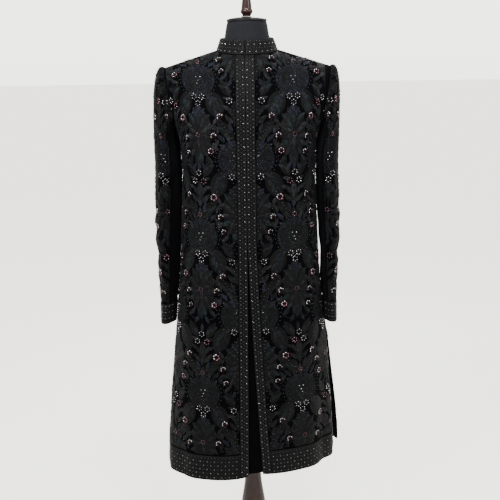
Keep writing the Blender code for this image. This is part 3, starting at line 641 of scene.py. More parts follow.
def oval(name, z, u, grow=0.0):
    """A point of a sleeve's section: u is 0 at the inner side, a quarter at the front, a half outside."""
    centre_x, centre_y, half_x, half_y = from_table(SLEEVE_SECTIONS, z)
    centre_x += SLEEVE_HANG[name]
    angle = 2 * math.pi * u
    power = 2 / SLEEVE_SQUARENESS
    cosine, sine = math.cos(angle), math.sin(angle)
    x = centre_x - math.copysign(abs(cosine) ** power, cosine) * (half_x + grow)
    y = centre_y - math.copysign(abs(sine) ** power, sine) * (half_y + grow)
    return Vector((x, y, z))


@lru_cache(maxsize=None)
def armhole_point(u):
    if u <= 0.5:
        point = yoke_point("left_front", 1.0, u / 0.5)
    else:
        point = yoke_point("back", 1.0, (1.0 - u) / 0.5)
    seam = math.exp(-(min(u, 1.0 - u, abs(u - 0.5)) / 0.02) ** 2)
    point.y += SEAM_GAP / 2 * seam * (1.0 if u <= 0.5 else -1.0)
    point.x += SEAM_GAP
    return point


def sleeve_point(name, u, v):
    """A point of a sleeve's outer surface: v is 0 at the cuff, 1 under the cap and 2 at the armhole."""
    if v <= 1.0:
        z = mix(SLEEVE_BOTTOM_Z, SLEEVE_TOP_Z, v)
        outside = max(0.0, -math.cos(2 * math.pi * u))
        grow = sum(size * bell(z - level, half) for level, size, half in ELBOW_FOLDS) * (0.3 + 0.7 * outside)
        point = oval(name, z, u, grow)
        tilt = max(0.0, 1.0 - (z - SLEEVE_BOTTOM_Z) / CUFF_TILT_REACH)
        point.z -= CUFF_TILT * (point.y - SLEEVE_SECTIONS[0][2]) * tilt
        return point
    t = 2.0 - v
    seam = armhole_point(u)
    joined = oval(name, SLEEVE_TOP_Z, u)
    outside = (1 - math.cos(2 * math.pi * u)) / 2
    forward = math.sin(2 * math.pi * u)
    leave = Vector((0.003 + 0.031 * outside**0.6, -0.010 * forward, -0.004 + 0.026 * outside**2))
    arrive = Vector((0, 0, 0.018 + 0.102 * outside))
    return bezier(seam, seam + leave, joined + arrive, joined, t)


def collar_point(angle, h):
    """The collar's outer surface: h is 0 at the neck seam and 1 at the top edge."""
    base = neck_ring(angle)
    depth = COLLAR_TOP_FRONT if math.cos(angle) > 0 else COLLAR_TOP_BACK
    x = COLLAR_TOP_HALF_WIDTH * math.sin(angle)
    top = Vector((x, -depth * math.cos(angle), COLLAR_TOP_Z - COLLAR_TOP_TILT * math.cos(angle)))
    point = base.lerp(top, h)
    point.z += SEAM_GAP * (1 - h)
    return point


# Cloth


class Cloth:
    """A cloth surface on a fine grid: its points, the ways out of it, and their places on the flat cloth.

    across and up are those places, in metres; columns and rows are the source's own parameters. calm is 0
    where a seam holds the cloth and 1 where it is free to crease.
    """

    def __init__(self, name, points, across, up, columns, rows, calm, centre=None):
        self.name = name
        self.across, self.up = across, up
        self.columns, self.rows = np.array(columns), np.array(rows)
        self.wraps = bool(np.abs(points[:, 0] - points[:, -1]).max() < 1e-6)
        self.centre = centre
        self.points = points
        self.normals = self.ways_out()
        lift = self.crease_lift() * calm
        if self.wraps:
            lift[:, -1] = lift[:, 0]
        self.points = points + self.normals * lift[..., None]
        self.normals = self.ways_out()
        self.drift = self.edge_drift()

    def ways_out(self):
        around = np.gradient(self.points, axis=1)
        if self.wraps:
            around[:, 0] = around[:, -1] = (self.points[:, 1] - self.points[:, -2]) / 2
        normal = np.cross(around, np.gradient(self.points, axis=0))
        normal /= np.linalg.norm(normal, axis=2, keepdims=True) + 1e-12
        centre = self.centre
        if centre is None:
            centre = self.points.mean(axis=1, keepdims=True)[..., :2]
        out = ((self.points[..., :2] - centre) * normal[..., :2]).sum()
        self.turned = out < 0
        return -normal if self.turned else normal

    def edge_drift(self):
        """Heights, and where the front edge that the embroidery follows lies at each."""
        heights = np.linspace(HEM_Z, CHEST_Z, 40)
        if "front" not in self.name:
            return heights, np.zeros(40)
        return heights, np.array([panel_run(self.name, z)[0] for z in heights])

    def crease_lift(self):
        a, b = self.across, self.up
        lift = 0.0004 * np.sin(41 * a + 1.3) * np.sin(23 * b + 0.6) + 0.0003 * np.sin(67 * a - 31 * b)
        for a0, b0, a1, b1, half_width, depth in CREASES.get(self.name, ()):
            run = math.hypot(a1 - a0, b1 - b0)
            t = ((a - a0) * (a1 - a0) + (b - b0) * (b1 - b0)) / run**2
            off = ((a - a0) * (b1 - b0) - (b - b0) * (a1 - a0)) / run
            t = np.clip(t, 0, 1)
            off = off - 0.06 * run * np.sin(math.pi * t) + 0.0015 * np.sin(9 * t + 40 * a0)
            width = half_width * (0.7 + 0.5 * t)
            lift += depth * np.exp(-((off / width) ** 2)) * np.sin(math.pi * t) ** 0.8
            side = np.exp(-(((off - 2.1 * width) / width) ** 2))
            lift -= 0.35 * depth * side * np.sin(math.pi * t)
        for side, reach, low, high, depth in FULLNESS.get(self.name, ()):
            edge = np.exp(-(((np.abs(a) - np.abs(a).max(axis=1, keepdims=True)) / reach) ** 2))
            rise = np.sin(math.pi * np.clip((b - low) / (high - low), 0, 1)) ** 0.6
            lift += depth * edge * rise * (a * side >= 0)
        return lift

    def index(self, c, r):
        """Where a column and row of the source's surface lie in the grid."""
        i = np.interp(c, self.columns, np.arange(len(self.columns)))
        j = np.interp(r, self.rows, np.arange(len(self.rows)))
        return np.asarray(i, float), np.asarray(j, float)

    def corners(self, grid, i, j):
        i0 = np.clip(np.floor(i).astype(int), 0, grid.shape[1] - 2)
        j0 = np.clip(np.floor(j).astype(int), 0, grid.shape[0] - 2)
        s, t = i - i0, j - j0
        if grid.ndim == 3:
            s, t = s[..., None], t[..., None]
        return grid[j0, i0], grid[j0, i0 + 1], grid[j0 + 1, i0], grid[j0 + 1, i0 + 1], s, t

    def read(self, grid, i, j):
        return self.slopes(grid, i, j)[0]

    def slopes(self, grid, i, j):
        low_a, low_b, high_a, high_b, s, t = self.corners(grid, i, j)
        value = (low_a * (1 - s) + low_b * s) * (1 - t) + (high_a * (1 - s) + high_b * s) * t
        by_i = (low_b - low_a) * (1 - t) + (high_b - high_a) * t
        by_j = (high_a - low_a) * (1 - s) + (high_b - low_b) * s
        return value, by_i, by_j

    def find(self, a, b):
        """Grid places of points of the flat cloth, and how far each lies outside it.

        On a front, a is measured from its front edge.
        """
        a, b = np.asarray(a, float), np.asarray(b, float)
        a = a + np.interp(b, *self.drift)
        rows, columns = self.across.shape
        j = np.interp(b, self.up[:, columns // 2], np.arange(rows))
        row = np.clip(np.rint(j).astype(int), 0, rows - 1)
        i = (a - self.across[row, 0]) / (self.across[row, -1] - self.across[row, 0]) * (columns - 1)
        i = np.clip(i, 0, columns - 1)
        for _ in range(SEARCH_STEPS):
            va, ai, aj = self.slopes(self.across, i, j)
            vb, bi, bj = self.slopes(self.up, i, j)
            det = ai * bj - aj * bi
            det = np.where(np.abs(det) < 1e-12, 1e-12, det)
            step_i, step_j = ((a - va) * bj - (b - vb) * aj) / det, ((b - vb) * ai - (a - va) * bi) / det
            i = np.clip(i + np.clip(step_i, -SEARCH_STRIDE, SEARCH_STRIDE), 0, columns - 1)
            j = np.clip(j + np.clip(step_j, -SEARCH_STRIDE, SEARCH_STRIDE), 0, rows - 1)
        off = np.hypot(self.read(self.across, i, j) - a, self.read(self.up, i, j) - b)
        return i, j, off

    def on(self, i, j, lift):
        """Points that stand a little way out of the cloth."""
        return self.read(self.points, i, j) + self.read(self.normals, i, j) * np.asarray(lift)[..., None]

    def standing(self, i, j):
        """Point, way across, way up and way out at grid places."""
        point = self.read(self.points, i, j)
        out = self.read(self.normals, i, j)
        out /= np.linalg.norm(out, axis=-1, keepdims=True)
        _, _, upward = self.slopes(self.points, i, j)
        upward -= out * (upward * out).sum(-1, keepdims=True)
        upward /= np.linalg.norm(upward, axis=-1, keepdims=True) + 1e-12
        sideways = np.cross(upward, out)
        return point, sideways, upward, out


def grid_of(point, columns, rows):
    return np.array([[tuple(point(c, r)) for c in columns] for r in rows])


def climbing(points, start, first_row):
    """Heights that grow with the distance up each column, from the row where they start."""
    steps = np.linalg.norm(np.diff(points[first_row:], axis=0), axis=2)
    return start + np.vstack([np.zeros(points.shape[1]), np.cumsum(steps, axis=0)])


def running(points):
    """The distance along each row of a grid."""
    steps = np.linalg.norm(np.diff(points, axis=1), axis=2)
    return np.hstack([np.zeros((len(points), 1)), np.cumsum(steps, axis=1)])


def near(places, seam, reach):
    """1 at a seam, falling to 0 beyond its reach."""
    return np.exp(-(((np.array(places) - seam) / reach) ** 2))


@lru_cache(maxsize=None)
def cloth(name):
    """Each coat piece's surface, made once."""
    if name in ("right_front", "left_front", "back"):
        return body_cloth(name)
    return collar_cloth() if name == "collar" else sleeve_cloth(name)


def body_cloth(name):
    back = name == "back"
    columns = even(0.0, 1.0, 110) if back else even(0.0, PLACKET_SHARE, 6) + even(PLACKET_SHARE, 1.0, 52)[1:]
    border = even(0.0, HEM_BORDER_R, 12)
    rows = border + even(HEM_BORDER_R, 1.0, 132)[1:] + even(1.0, 2.0, 44)[1:]
    points = grid_of(lambda c, r: coat_point(name, c, r), columns, rows)
    if back:
        corner = np.exp((np.array(columns) - 1) / CORNER_REACH)
        points[..., 2] -= CORNER_DROP * corner * np.clip(1 - np.array(rows), 0, 1)[:, None] ** 2
    chest_row = len(border) + 131
    across, up = np.empty((2, *points.shape[:2]))
    for j, r in enumerate(rows):
        for i, c in enumerate(columns):
            z = mix(hem_z(name, c), CHEST_Z, min(r, 1.0))
            place = place_on(name, c, *panel_run(name, z))
            if r > 1.0:
                place = points[j, i, 0] + (place - points[chest_row, i, 0]) * (1 - ease(r - 1.0))
            across[j, i], up[j, i] = place, z
    up[chest_row:] = climbing(points, CHEST_Z, chest_row)
    reach = np.abs(2 * np.array(columns) - 1) if back else np.array(columns)
    armhole = near(reach, 1, ARMHOLE_CALM)[None, :] * np.clip((np.array(rows)[:, None] - 0.9) / 0.1, 0, 1)
    calm = (1 - near(rows, 2, SHOULDER_CALM))[:, None] * (1 - armhole)
    return Cloth(name, points, across, up, columns, rows, calm, centre=(0.0, 0.0))


def sleeve_cloth(name):
    word = name.split("_")[0]
    side = -1.0 if word == "right" else 1.0
    columns = even(0.0, 1.0, 72)
    rows = even(0.0, CUFF_BORDER_V, 10) + even(CUFF_BORDER_V, 1.0, 70)[1:] + even(1.0, 2.0, 46)[1:]
    points = grid_of(lambda u, v: sleeve_point(word, u % 1.0, v), columns, rows)
    points[..., 0] *= side
    across = running(points)
    across -= across[:, 36:37]
    up = np.empty(points.shape[:2])
    up[:] = np.array([mix(SLEEVE_BOTTOM_Z, SLEEVE_TOP_Z, min(v, 1.0)) for v in rows])[:, None]
    up[80:] = climbing(points, SLEEVE_TOP_Z, 80)
    made = Cloth(name, points, across, up, columns, rows, (1 - near(rows, 2, SLEEVE_HEAD_CALM))[:, None])
    lay_beside_body(made, word, side)
    return made


def lay_beside_body(sleeve, word, side):
    """Holds the inner side of a sleeve off the body where it would pass into it."""
    for panel in (word + "_front", "back"):
        grid = cloth(panel).points
        count, width = grid.shape[:2]
        corners = [j * width + i for j in range(count - 1) for i in range(width - 1)]
        faces = [(n, n + 1, n + width + 1, n + width) for n in corners]
        tree = BVHTree.FromPolygons([tuple(p) for p in grid.reshape(-1, 3)], faces)
        for j, v in enumerate(sleeve.rows):
            if v > HELD_UP_TO:
                break
            margin = mix(SLEEVE_CLEARANCE, ARMHOLE_CLEARANCE, ease((v - 0.9) / 0.6))
            if v < CUFF_BORDER_V + 0.03:
                margin = CUFF_CLEARANCE
            for i in range(len(sleeve.columns)):
                point = Vector(sleeve.points[j, i])
                place, normal, _, _ = tree.find_nearest(point, BODY_REACH)
                if place is None:
                    continue
                if normal.x * side < 0:
                    normal = -normal
                depth = (point - place).dot(normal)
                if depth < margin and (point - place - normal * depth).length < BESIDE:
                    sleeve.points[j, i] += np.array(normal) * (margin - depth)
    sleeve.points[:, -1] = sleeve.points[:, 0]
    sleeve.normals = sleeve.ways_out()


def collar_cloth():
    columns, rows = even(0.0, 1.0, 140), even(0.0, 1.0, 14)
    start = (CLOSURE_X + COLLAR_OPENING / 2) / NECK_HALF_WIDTH
    end = 2 * math.pi + (CLOSURE_X - COLLAR_OPENING / 2) / NECK_HALF_WIDTH

    def point(c, h):
        spread = 0.016 * h
        return collar_point(mix(start + spread, end - spread, c), h)

    points = grid_of(point, columns, rows)
    across = np.array([[mix(start, end, c) * COLLAR_RADIUS for c in columns] for _ in rows])
    up = np.array([[h * COLLAR_HEIGHT] * len(columns) for h in rows])
    calm = (1 - near(rows, 0, COLLAR_SEAM_CALM))[:, None]
    return Cloth("collar", points, across, up, columns, rows, calm, centre=(0.0, NECK_CENTRE_Y))


# Making pieces


def sizes():
    return bpy.context.scene.sherwani_sizes


def colours():
    return bpy.context.scene.sherwani_colours


def placed(name, data):
    """A new object in the scene."""
    made = bpy.data.objects.new(name, data)
    bpy.context.scene.collection.objects.link(made)
    return made


def add_piece(name, bm, material, smooth_angle=None):
    data = bpy.data.meshes.new(name)
    bm.to_mesh(data)
    bm.free()
    data.shade_smooth()
    if smooth_angle:
        data.set_sharp_from_angle(angle=math.radians(smooth_angle))
    data.materials.append(material)
    piece = placed(name, data)
    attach(piece, "root")
    return piece


def add_wall(piece, thickness, inwards=True, round_edge=0.0005):
    """Gives a surface its thickness, and takes the sharpness off its edges."""
    wall = piece.modifiers.new("wall", "SOLIDIFY")
    wall.thickness = thickness
    wall.offset = -1.0 if inwards else 1.0
    wall.use_quality_normals = True
    edge = piece.modifiers.new("edge", "BEVEL")
    edge.width = round_edge
    edge.segments = 2
    edge.limit_method = "ANGLE"
    edge.angle_limit = math.radians(60)
    edge.use_clamp_overlap = True


def sheet_mesh(rows, across, up, turned, wraps):
    """A grid laid on points, with the flat cloth's own measures as its UV map."""
    rows_count, columns_count = rows.shape[:2]
    bm = bmesh.new()
    layer = bm.loops.layers.uv.new("flat_cloth")
    grid = bmesh.ops.create_grid(bm, x_segments=columns_count - 1, y_segments=rows_count - 1, size=0.5)
    places = {}
    for vert in grid["verts"]:
        i = round((vert.co.x + 0.5) * (columns_count - 1))
        j = round((vert.co.y + 0.5) * (rows_count - 1))
        vert.co = rows[j, i]
        places[vert] = (across[j, i], up[j, i])
    for face in bm.faces:
        for loop in face.loops:
            loop[layer].uv = places[loop.vert]
    if turned:
        bmesh.ops.reverse_faces(bm, faces=bm.faces[:])
    if wraps:
        bmesh.ops.remove_doubles(bm, verts=bm.verts[:], dist=1e-6)
    return bm


def shell(name, source, columns, rows, lift, thickness, material, wraps=False):
    """A cloth piece over part of a surface, lifted off it."""
    c, r = np.meshgrid(columns, rows)
    i, j = source.index(c, r)
    points = source.on(i, j, np.full(c.shape, lift))
    across, up = source.read(source.across, i, j), source.read(source.up, i, j)
    piece = add_piece(name, sheet_mesh(points, across, up, source.turned, wraps), material)
    add_wall(piece, thickness)
    return piece


def repeated(name, bm, places, material, uv=None, tint=None):
    """Copies of one small shape, each laid on its own points: places is copies by vertices by 3."""
    count, size = places.shape[:2]
    faces = len(bm.faces)
    first = template_points(bm)
    made = 1
    while made < count:
        extra = min(made, count - made)
        bmesh.ops.duplicate(bm, geom=bm.verts[: extra * size] + bm.faces[: extra * faces])
        bm.verts.ensure_lookup_table()
        bm.faces.ensure_lookup_table()
        made += extra
    piece = add_piece(name, bm, material)
    data = piece.data
    old = np.empty(len(data.vertices) * 3, np.float32)
    data.vertices.foreach_get("co", old)
    if np.abs(old.reshape(count, size, 3) - first).max() > 1e-5:
        raise RuntimeError(f"the copies in {name} are out of order")
    data.vertices.foreach_set("co", places.reshape(-1).astype(np.float32))
    loops = np.empty(len(data.loops), np.int32)
    data.loops.foreach_get("vertex_index", loops)
    if uv is not None:
        layer = data.uv_layers.new(name="stitch")
        layer.data.foreach_set("uv", uv.reshape(-1, 2)[loops].reshape(-1).astype(np.float32))
    if tint is not None:
        colour = data.color_attributes.new("thread", "FLOAT_COLOR", "POINT")
        colours = np.ones((count, size, 4))
        colours[..., :3] = tint[:, None, :]
        colour.data.foreach_set("color", colours.reshape(-1).astype(np.float32))
    data.update()
    clear_flattened(data)
    return piece


def clear_flattened(data):
    """Takes away faces that a margin has pressed flat."""
    bm = bmesh.new()
    bm.from_mesh(data)
    flat = [face for face in bm.faces if face.calc_area() < FLAT_AREA]
    if flat:
        bmesh.ops.delete(bm, geom=flat, context="FACES")
        bm.to_mesh(data)
        data.shade_smooth()
    bm.free()


def ready(bm):
    """The same shape with its corners and faces counted afresh."""
    data = bpy.data.meshes.new("template")
    bm.to_mesh(data)
    bm.free()
    fresh = bmesh.new()
    fresh.from_mesh(data)
    bpy.data.meshes.remove(data)
    fresh.verts.ensure_lookup_table()
    fresh.faces.ensure_lookup_table()
    return fresh


def dome_template():
    """A quarter curve spun into a small dome of radius 1."""
    bm = bmesh.new()
    profile = [bm.verts.new(p) for p in ((1, 0, -0.12), (0.90, 0, 0.42), (0.55, 0, 0.84), (0, 0, 1))]
    edges = [bm.edges.new(pair) for pair in zip(profile, profile[1:])]
    bmesh.ops.spin(
        bm, geom=profile + edges, cent=(0, 0, 0), axis=(0, 0, 1), angle=2 * math.pi, steps=8, use_merge=True
    )
    bmesh.ops.remove_doubles(bm, verts=bm.verts[:], dist=1e-5)
    bmesh.ops.recalc_face_normals(bm, faces=bm.faces[:])
    if sum(face.normal.z for face in bm.faces) < 0:
        bmesh.ops.reverse_faces(bm, faces=bm.faces[:])
    return ready(bm)


def strip_template(x_segments, y_segments):
    """A flat grid from -1 to 1 across and 0 to 1 along."""
    bm = bmesh.new()
    grid = bmesh.ops.create_grid(bm, x_segments=x_segments, y_segments=y_segments, size=1.0)
    for vert in grid["verts"]:
        vert.co.y = (vert.co.y + 1) / 2
    return ready(bm)


def template_points(bm):
    return np.array([tuple(v.co) for v in bm.verts])


def domes(name, stands, measures, turn, finish):
    """Beads or studs: stands is (point, across, up, out), measures is radius across, radius up, height."""
    bm = dome_template()
    local = template_points(bm)
    point, sideways, upward, out = stands
    cosine, sine = np.cos(turn)[:, None], np.sin(turn)[:, None]
    ways = (sideways * cosine + upward * sine, upward * cosine - sideways * sine, out)
    places = point[:, None, :]
    for k, way in enumerate(ways):
        places = places + way[:, None, :] * (local[None, :, k : k + 1] * measures[:, None, k : k + 1])
    repeated(name, bm, places, material(finish))


def domes_alike(name, stands, size, finish, lift=0.0, turns=None):
    """Beads of one size, over many lists of stands."""
    point, sideways, upward, out = (np.vstack(part) for part in zip(*stands))
    turn = np.zeros(len(point)) if turns is None else np.concatenate(turns)
    domes(name, (point + out * lift, sideways, upward, out), np.tile(size, (len(point), 1)), turn, finish)


# Materials

SHADER_INPUTS = {
    "roughness": "Roughness",
    "metallic": "Metallic",
    "specular": "Specular IOR Level",
    "sheen": "Sheen Weight",
    "sheen_roughness": "Sheen Roughness",
    "sheen_tint": "Sheen Tint",
    "coat": "Coat Weight",
    "coat_roughness": "Coat Roughness",
}


def node(nodes, kind, **values):
    made = nodes.new("ShaderNode" + kind)
    for key, value in values.items():
        if key in made.inputs:
            made.inputs[key].default_value = value
        else:
            setattr(made, key, value)
    return made


def ramp(nodes, links, factor, stops):
    made = nodes.new("ShaderNodeValToRGB")
    elements = made.color_ramp.elements
    while len(elements) < len(stops):
        elements.new(0.5)
    for element, (place, colour) in zip(elements, stops):
        element.position = place
        element.color = (*colour, 1.0)
    links.new(factor, made.inputs["Fac"])
    return made.outputs["Color"]


def shaded(colour, share):
    return tuple(channel * share for channel in colour[:3])


def seen_only(nodes, links, unseen, seen):
    """A value that is one number for the camera and another for the light that bounces."""
    path = nodes.new("ShaderNodeLightPath")
    value = node(nodes, "MapRange", **{"To Min": unseen, "To Max": seen})
    links.new(path.outputs["Is Camera Ray"], value.inputs["Value"])
    return value.outputs["Result"]


class Finish:
    """A material in the making: its nodes, its shader, and the places that its textures are read at."""

    def __init__(self, name, **inputs):
        self.material = bpy.data.materials.new(name)
        self.material.use_nodes = True
        tree = self.material.node_tree
        self.nodes, self.links, self.shader = tree.nodes, tree.links, tree.nodes["Principled BSDF"]
        self.where = self.nodes.new("ShaderNodeTexCoord").outputs["Object"]
        for word, value in inputs.items():
            self.shader.inputs[SHADER_INPUTS[word]].default_value = value

    def feed(self, output, name):
        self.links.new(output, self.shader.inputs[name])

    def texture(self, kind, where=None, output="Fac", **values):
        made = node(self.nodes, "Tex" + kind, **values)
        self.links.new(self.where if where is None else where, made.inputs["Vector"])
        return made.outputs[output]

    def laid(self, where, **values):
        """Texture places turned or stretched."""
        made = node(self.nodes, "Mapping", **values)
        self.links.new(where, made.inputs["Vector"])
        return made.outputs["Vector"]

    def flat(self, layer):
        return node(self.nodes, "UVMap", uv_map=layer).outputs["UV"]

    def maths(self, operation, *values):
        made = node(self.nodes, "Math", operation=operation)
        for socket, value in zip(made.inputs, values):
            if isinstance(value, float):
                socket.default_value = value
            else:
                self.links.new(value, socket)
        return made.outputs["Value"]

    def grey(self, factor, *stops):
        return ramp(self.nodes, self.links, factor, [(place, (light,) * 3) for place, light in stops])

    def tone(self, factor, colour, *stops):
        """The base colour: shares of one colour, from place to place of a texture."""
        stops = [(place, shaded(colour, share)) for place, share in stops]
        self.feed(ramp(self.nodes, self.links, factor, stops), "Base Color")

    def bump(self, height, strength, distance, before=None):
        made = node(self.nodes, "Bump", Strength=strength, Distance=distance)
        self.links.new(height, made.inputs["Height"])
        if before is not None:
            self.links.new(before, made.inputs["Normal"])
        self.feed(made.outputs["Normal"], "Normal")
        return made.outputs["Normal"]


def velvet_material(name, colour):
    """Cotton velvet: nearly black, with a lifted pile that lies a little differently from place to place."""
    made = Finish(name, specular=0.02, sheen=0.03, sheen_roughness=0.45, sheen_tint=(0.55, 0.57, 0.65, 1.0))
    pile = made.texture("Noise", Scale=1500.0, Detail=3.0)
    brushed = made.texture("Noise", Scale=18.0, Detail=4.0, Roughness=0.6)
    made.tone(brushed, colour, (0.3, 0.55), (0.7, 1.35))
    rough = node(made.nodes, "MapRange", **{"To Min": 0.72, "To Max": 0.95})
    made.links.new(brushed, rough.inputs["Value"])
    made.feed(rough.outputs["Result"], "Roughness")
    made.bump(pile, 0.5, 0.0006)
    return made.material


def thread_material(name, _):
    """Satin-stitched thread: fine slanted stitches along the leaf, in the colour that each leaf carries."""
    made = Finish(name, roughness=0.50, specular=0.08, sheen=0.03)
    slant = made.laid(made.flat("stitch"), Rotation=(0.0, 0.0, math.radians(55)))
    stitches = made.texture("Wave", slant, Scale=300.0, Distortion=1.2, Detail=2.0, **{"Detail Scale": 3.0})
    worn = made.texture("Noise", Scale=160.0, Detail=5.0)
    colour = node(made.nodes, "VertexColor", layer_name="thread").outputs["Color"]
    for texture, *stops in ((stitches, (0.0, 0.35), (0.8, 1.15)), (worn, (0.36, 0.16), (0.66, 1.75))):
        mixer = node(made.nodes, "Mix", data_type="RGBA", blend_type="MULTIPLY")
        mixer.inputs[0].default_value = 1.0
        made.links.new(colour, mixer.inputs[6])
        made.links.new(made.grey(texture, *stops), mixer.inputs[7])
        colour = mixer.outputs[2]
    made.feed(colour, "Base Color")
    lumps = made.bump(worn, 0.5, 0.0016)
    made.bump(stitches, 0.7, 0.0004, lumps)
    return made.material


def bead_material(name, colour, roughness, metallic=1.0):
    """Metal beads and studs, each a little different in brightness."""
    made = Finish(name, roughness=roughness, metallic=metallic)
    made.tone(made.texture("Noise", Scale=90.0, Detail=2.0), colour, (0.35, 0.55), (0.62, 1.0))
    made.bump(made.texture("Noise", Scale=900.0, Detail=2.0), 0.12, 0.0003)
    return made.material


def border_material(name, colour):
    """The studded borders' ground: a close diamond net of dark beads and thread on velvet."""
    made = Finish(name, roughness=0.50, specular=0.08)
    flat, waves = made.flat("flat_cloth"), []
    for turn in (38, -38):
        slant = made.laid(flat, Rotation=(0.0, 0.0, math.radians(turn)))
        waves.append(made.texture("Wave", slant, Scale=72.0, Distortion=0.6))
    beads = made.texture("Voronoi", output="Distance", Scale=420.0)
    both = made.maths("MULTIPLY_ADD", beads, -0.6, made.maths("MAXIMUM", *waves))
    made.tone(both, colour, (0.15, 0.18), (0.6, 0.8), (0.9, 2.0))
    made.bump(both, 0.8, 0.0009)
    return made.material


def knit_material(name, colour):
    """The form's stretched jersey cover."""
    made = Finish(name, roughness=0.8, specular=0.10, sheen=0.04)
    ribs = made.texture("Wave", Scale=190.0, Distortion=1.5, Detail=1.0)
    rows = made.texture("Wave", Scale=230.0, Distortion=1.0, bands_direction="Z")
    made.tone(made.texture("Noise", Scale=22.0, Detail=5.0), colour, (0.3, 0.8), (0.7, 1.15))
    made.bump(made.maths("MULTIPLY", ribs, rows), 0.35, 0.0005)
    return made.material


def wood_material(name, colour):
    """Turned and lacquered dark wood, with its grain along the column."""
    made = Finish(name, roughness=0.30, specular=0.22, coat=0.22, coat_roughness=0.06)
    stretch = made.laid(made.where, Scale=(60.0, 60.0, 5.0))
    grain = made.texture("Noise", stretch, Scale=1.0, Detail=8.0, Roughness=0.65, Distortion=0.8)
    made.tone(grain, colour, (0.32, 0.35), (0.52, 1.0), (0.72, 1.9))
    made.bump(grain, 0.10, 0.0008)
    return made.material


def metal_material(name, colour, roughness):
    """Brushed metal, turned on a lathe."""
    made = Finish(name, roughness=roughness, metallic=1.0)
    rings = made.texture("Wave", Scale=420.0, Distortion=3.0, Detail=3.0, bands_direction="Z")
    made.tone(rings, colour, (0.0, 0.75), (1.0, 1.1))
    made.bump(rings, 0.1, 0.0003)
    return made.material


def lacquer_material(name, colour):
    """Black lacquer with faint wear."""
    made = Finish(name, roughness=0.38, specular=0.18)
    wear = made.texture("Noise", Scale=70.0, Detail=5.0)
    made.tone(wear, colour, (0.35, 0.7), (0.7, 1.4))
    made.bump(wear, 0.08, 0.0004)
    return made.material


def floor_material(name, colour):
    """A pale floor, whose glow reaches the camera alone and lights nothing."""
    made = Finish(name, roughness=0.6)
    made.tone(made.texture("Noise", Scale=2.0, Detail=3.0), colour, (0.3, 0.97), (0.7, 1.0))
    made.shader.inputs["Emission Color"].default_value = (*colour, 1.0)
    made.feed(seen_only(made.nodes, made.links, 0.0, FLOOR_GLOW), "Emission Strength")
    return made.material


# How each finish is made and its colour, with the roughness of metal and beads and how metallic they are
FINISHES = {
    "black_velvet": (velvet_material, "velvet"),
    "satin_thread": (thread_material, "charcoal"),
    "sewing_thread": (bead_material, "sewing", 0.6, 0.0),
    "silver_beads": (bead_material, "silver", 0.18),
    "rose_beads": (bead_material, "rose", 0.22),
    "plum_beads": (bead_material, "plum", 0.35),
    "pewter_beads": (bead_material, "pewter", 0.28),
    "dark_beads": (bead_material, "dark_bead", 0.32),
    "studded_net": (border_material, "border"),
    "jersey": (knit_material, "form"),
    "lacquered_wood": (wood_material, "wood"),
    "bright_steel": (metal_material, "steel", 0.22),
    "dark_cap": (lacquer_material, "cap"),
    "pale_floor": (floor_material, "floor"),
}


def material(name):
    """Each finish, made once and shared."""
    found = bpy.data.materials.get(name)
    if found is None:
        make, colour, *rest = FINISHES[name]
        found = make(name, getattr(colours(), colour), *rest)
    return found


# Embroidery shapes, in the source's millimetres round a medallion


def leaf_shape(bm, length, width, height, bend):
    """Two stitched lobes that meet in a groove: local places and stitch measures for each leaf."""
    grid = template_points(bm)
    s, t = grid[None, :, 0], grid[None, :, 1]
    half = width[:, None] / 2 * np.maximum(np.sin(math.pi * t) ** 0.8 * (1.15 - 0.42 * t), 0.05)
    x = s * half + bend[:, None] * (t - 0.5) ** 2 * 4
    y = length[:, None] * (t - 0.5)
    rounded = np.sqrt(np.maximum(1 - np.abs(s) ** 2.4, 0)) * (1 - 0.55 * np.exp(-((s / 0.28) ** 2)))
    lift = height[:, None] * (rounded * (0.35 + 0.65 * np.sin(math.pi * t)) + 0.12)
    lift = lift - LEAF_TUCK * (np.abs(s) > 0.99)
    uv = np.stack([np.abs(s) * half, y + 0 * s], axis=-1)
    return x, y, lift, uv


def lay_flat(source, a0, b0, turn, x, y):
    """Turns local places by each piece's own angle, and finds them on the cloth."""
    cosine, sine = np.cos(turn)[:, None], np.sin(turn)[:, None]
    a = a0[:, None] + x * cosine + y * sine
    b = b0[:, None] - x * sine + y * cosine
    i, j, _ = source.find(a, b)
    return i, j


def allowed(source):
    """The part of a piece that carries embroidery, in grid places."""
    left, right, bottom, top = EMBROIDERED[source.name]
    columns, rows = source.index([left, right], [bottom, top])
    return *columns, *rows


def kept(source, a, b, margin=1.5):
    i, j, off = source.find(a, b)
    left, right, bottom, top = allowed(source)
    inside = (i > left + margin) & (i < right - margin) & (j > bottom + margin) & (j < top - margin)
    return inside & (off < OFF_CLOTH)


def clamped(source, i, j):
    left, right, bottom, top = allowed(source)
    return np.clip(i, left, right), np.clip(j, bottom, top)


def drawn(y):
    """A height in the drawing, in metres on the cloth."""
    return y / 1000 * sizes().motif_repeat / DRAWN_REPEAT


def medallions(name):
    """The middles of a piece's medallions: across, up, and which way round its flowers go."""
    spacing, repeat, first = sizes().column_spacing, sizes().motif_repeat, sizes().first_medallion
    across, found = cloth(name).across, []
    for k in range(-3, 4):
        place, dropped = k * spacing, k % 2 == (1 if "sleeve" in name else 0)
        if "front" in name:
            side = 1.0 if name == "left_front" else -1.0
            place, dropped = side * (sizes().front_column + k * spacing), k % 2 == 0
            if k < 0:
                continue
        if place < across.min() - 0.05 or place > across.max() + 0.05:
            continue
        for m in range(-1, 4):
            shift = 0.004 if dropped else UNEVEN_ROWS[m + 1] * ("sleeve" not in name)
            height = first + (m + 0.5 * dropped) * repeat + shift
            found.append((place, height, -1.0 if place > 0 else 1.0))
    return found


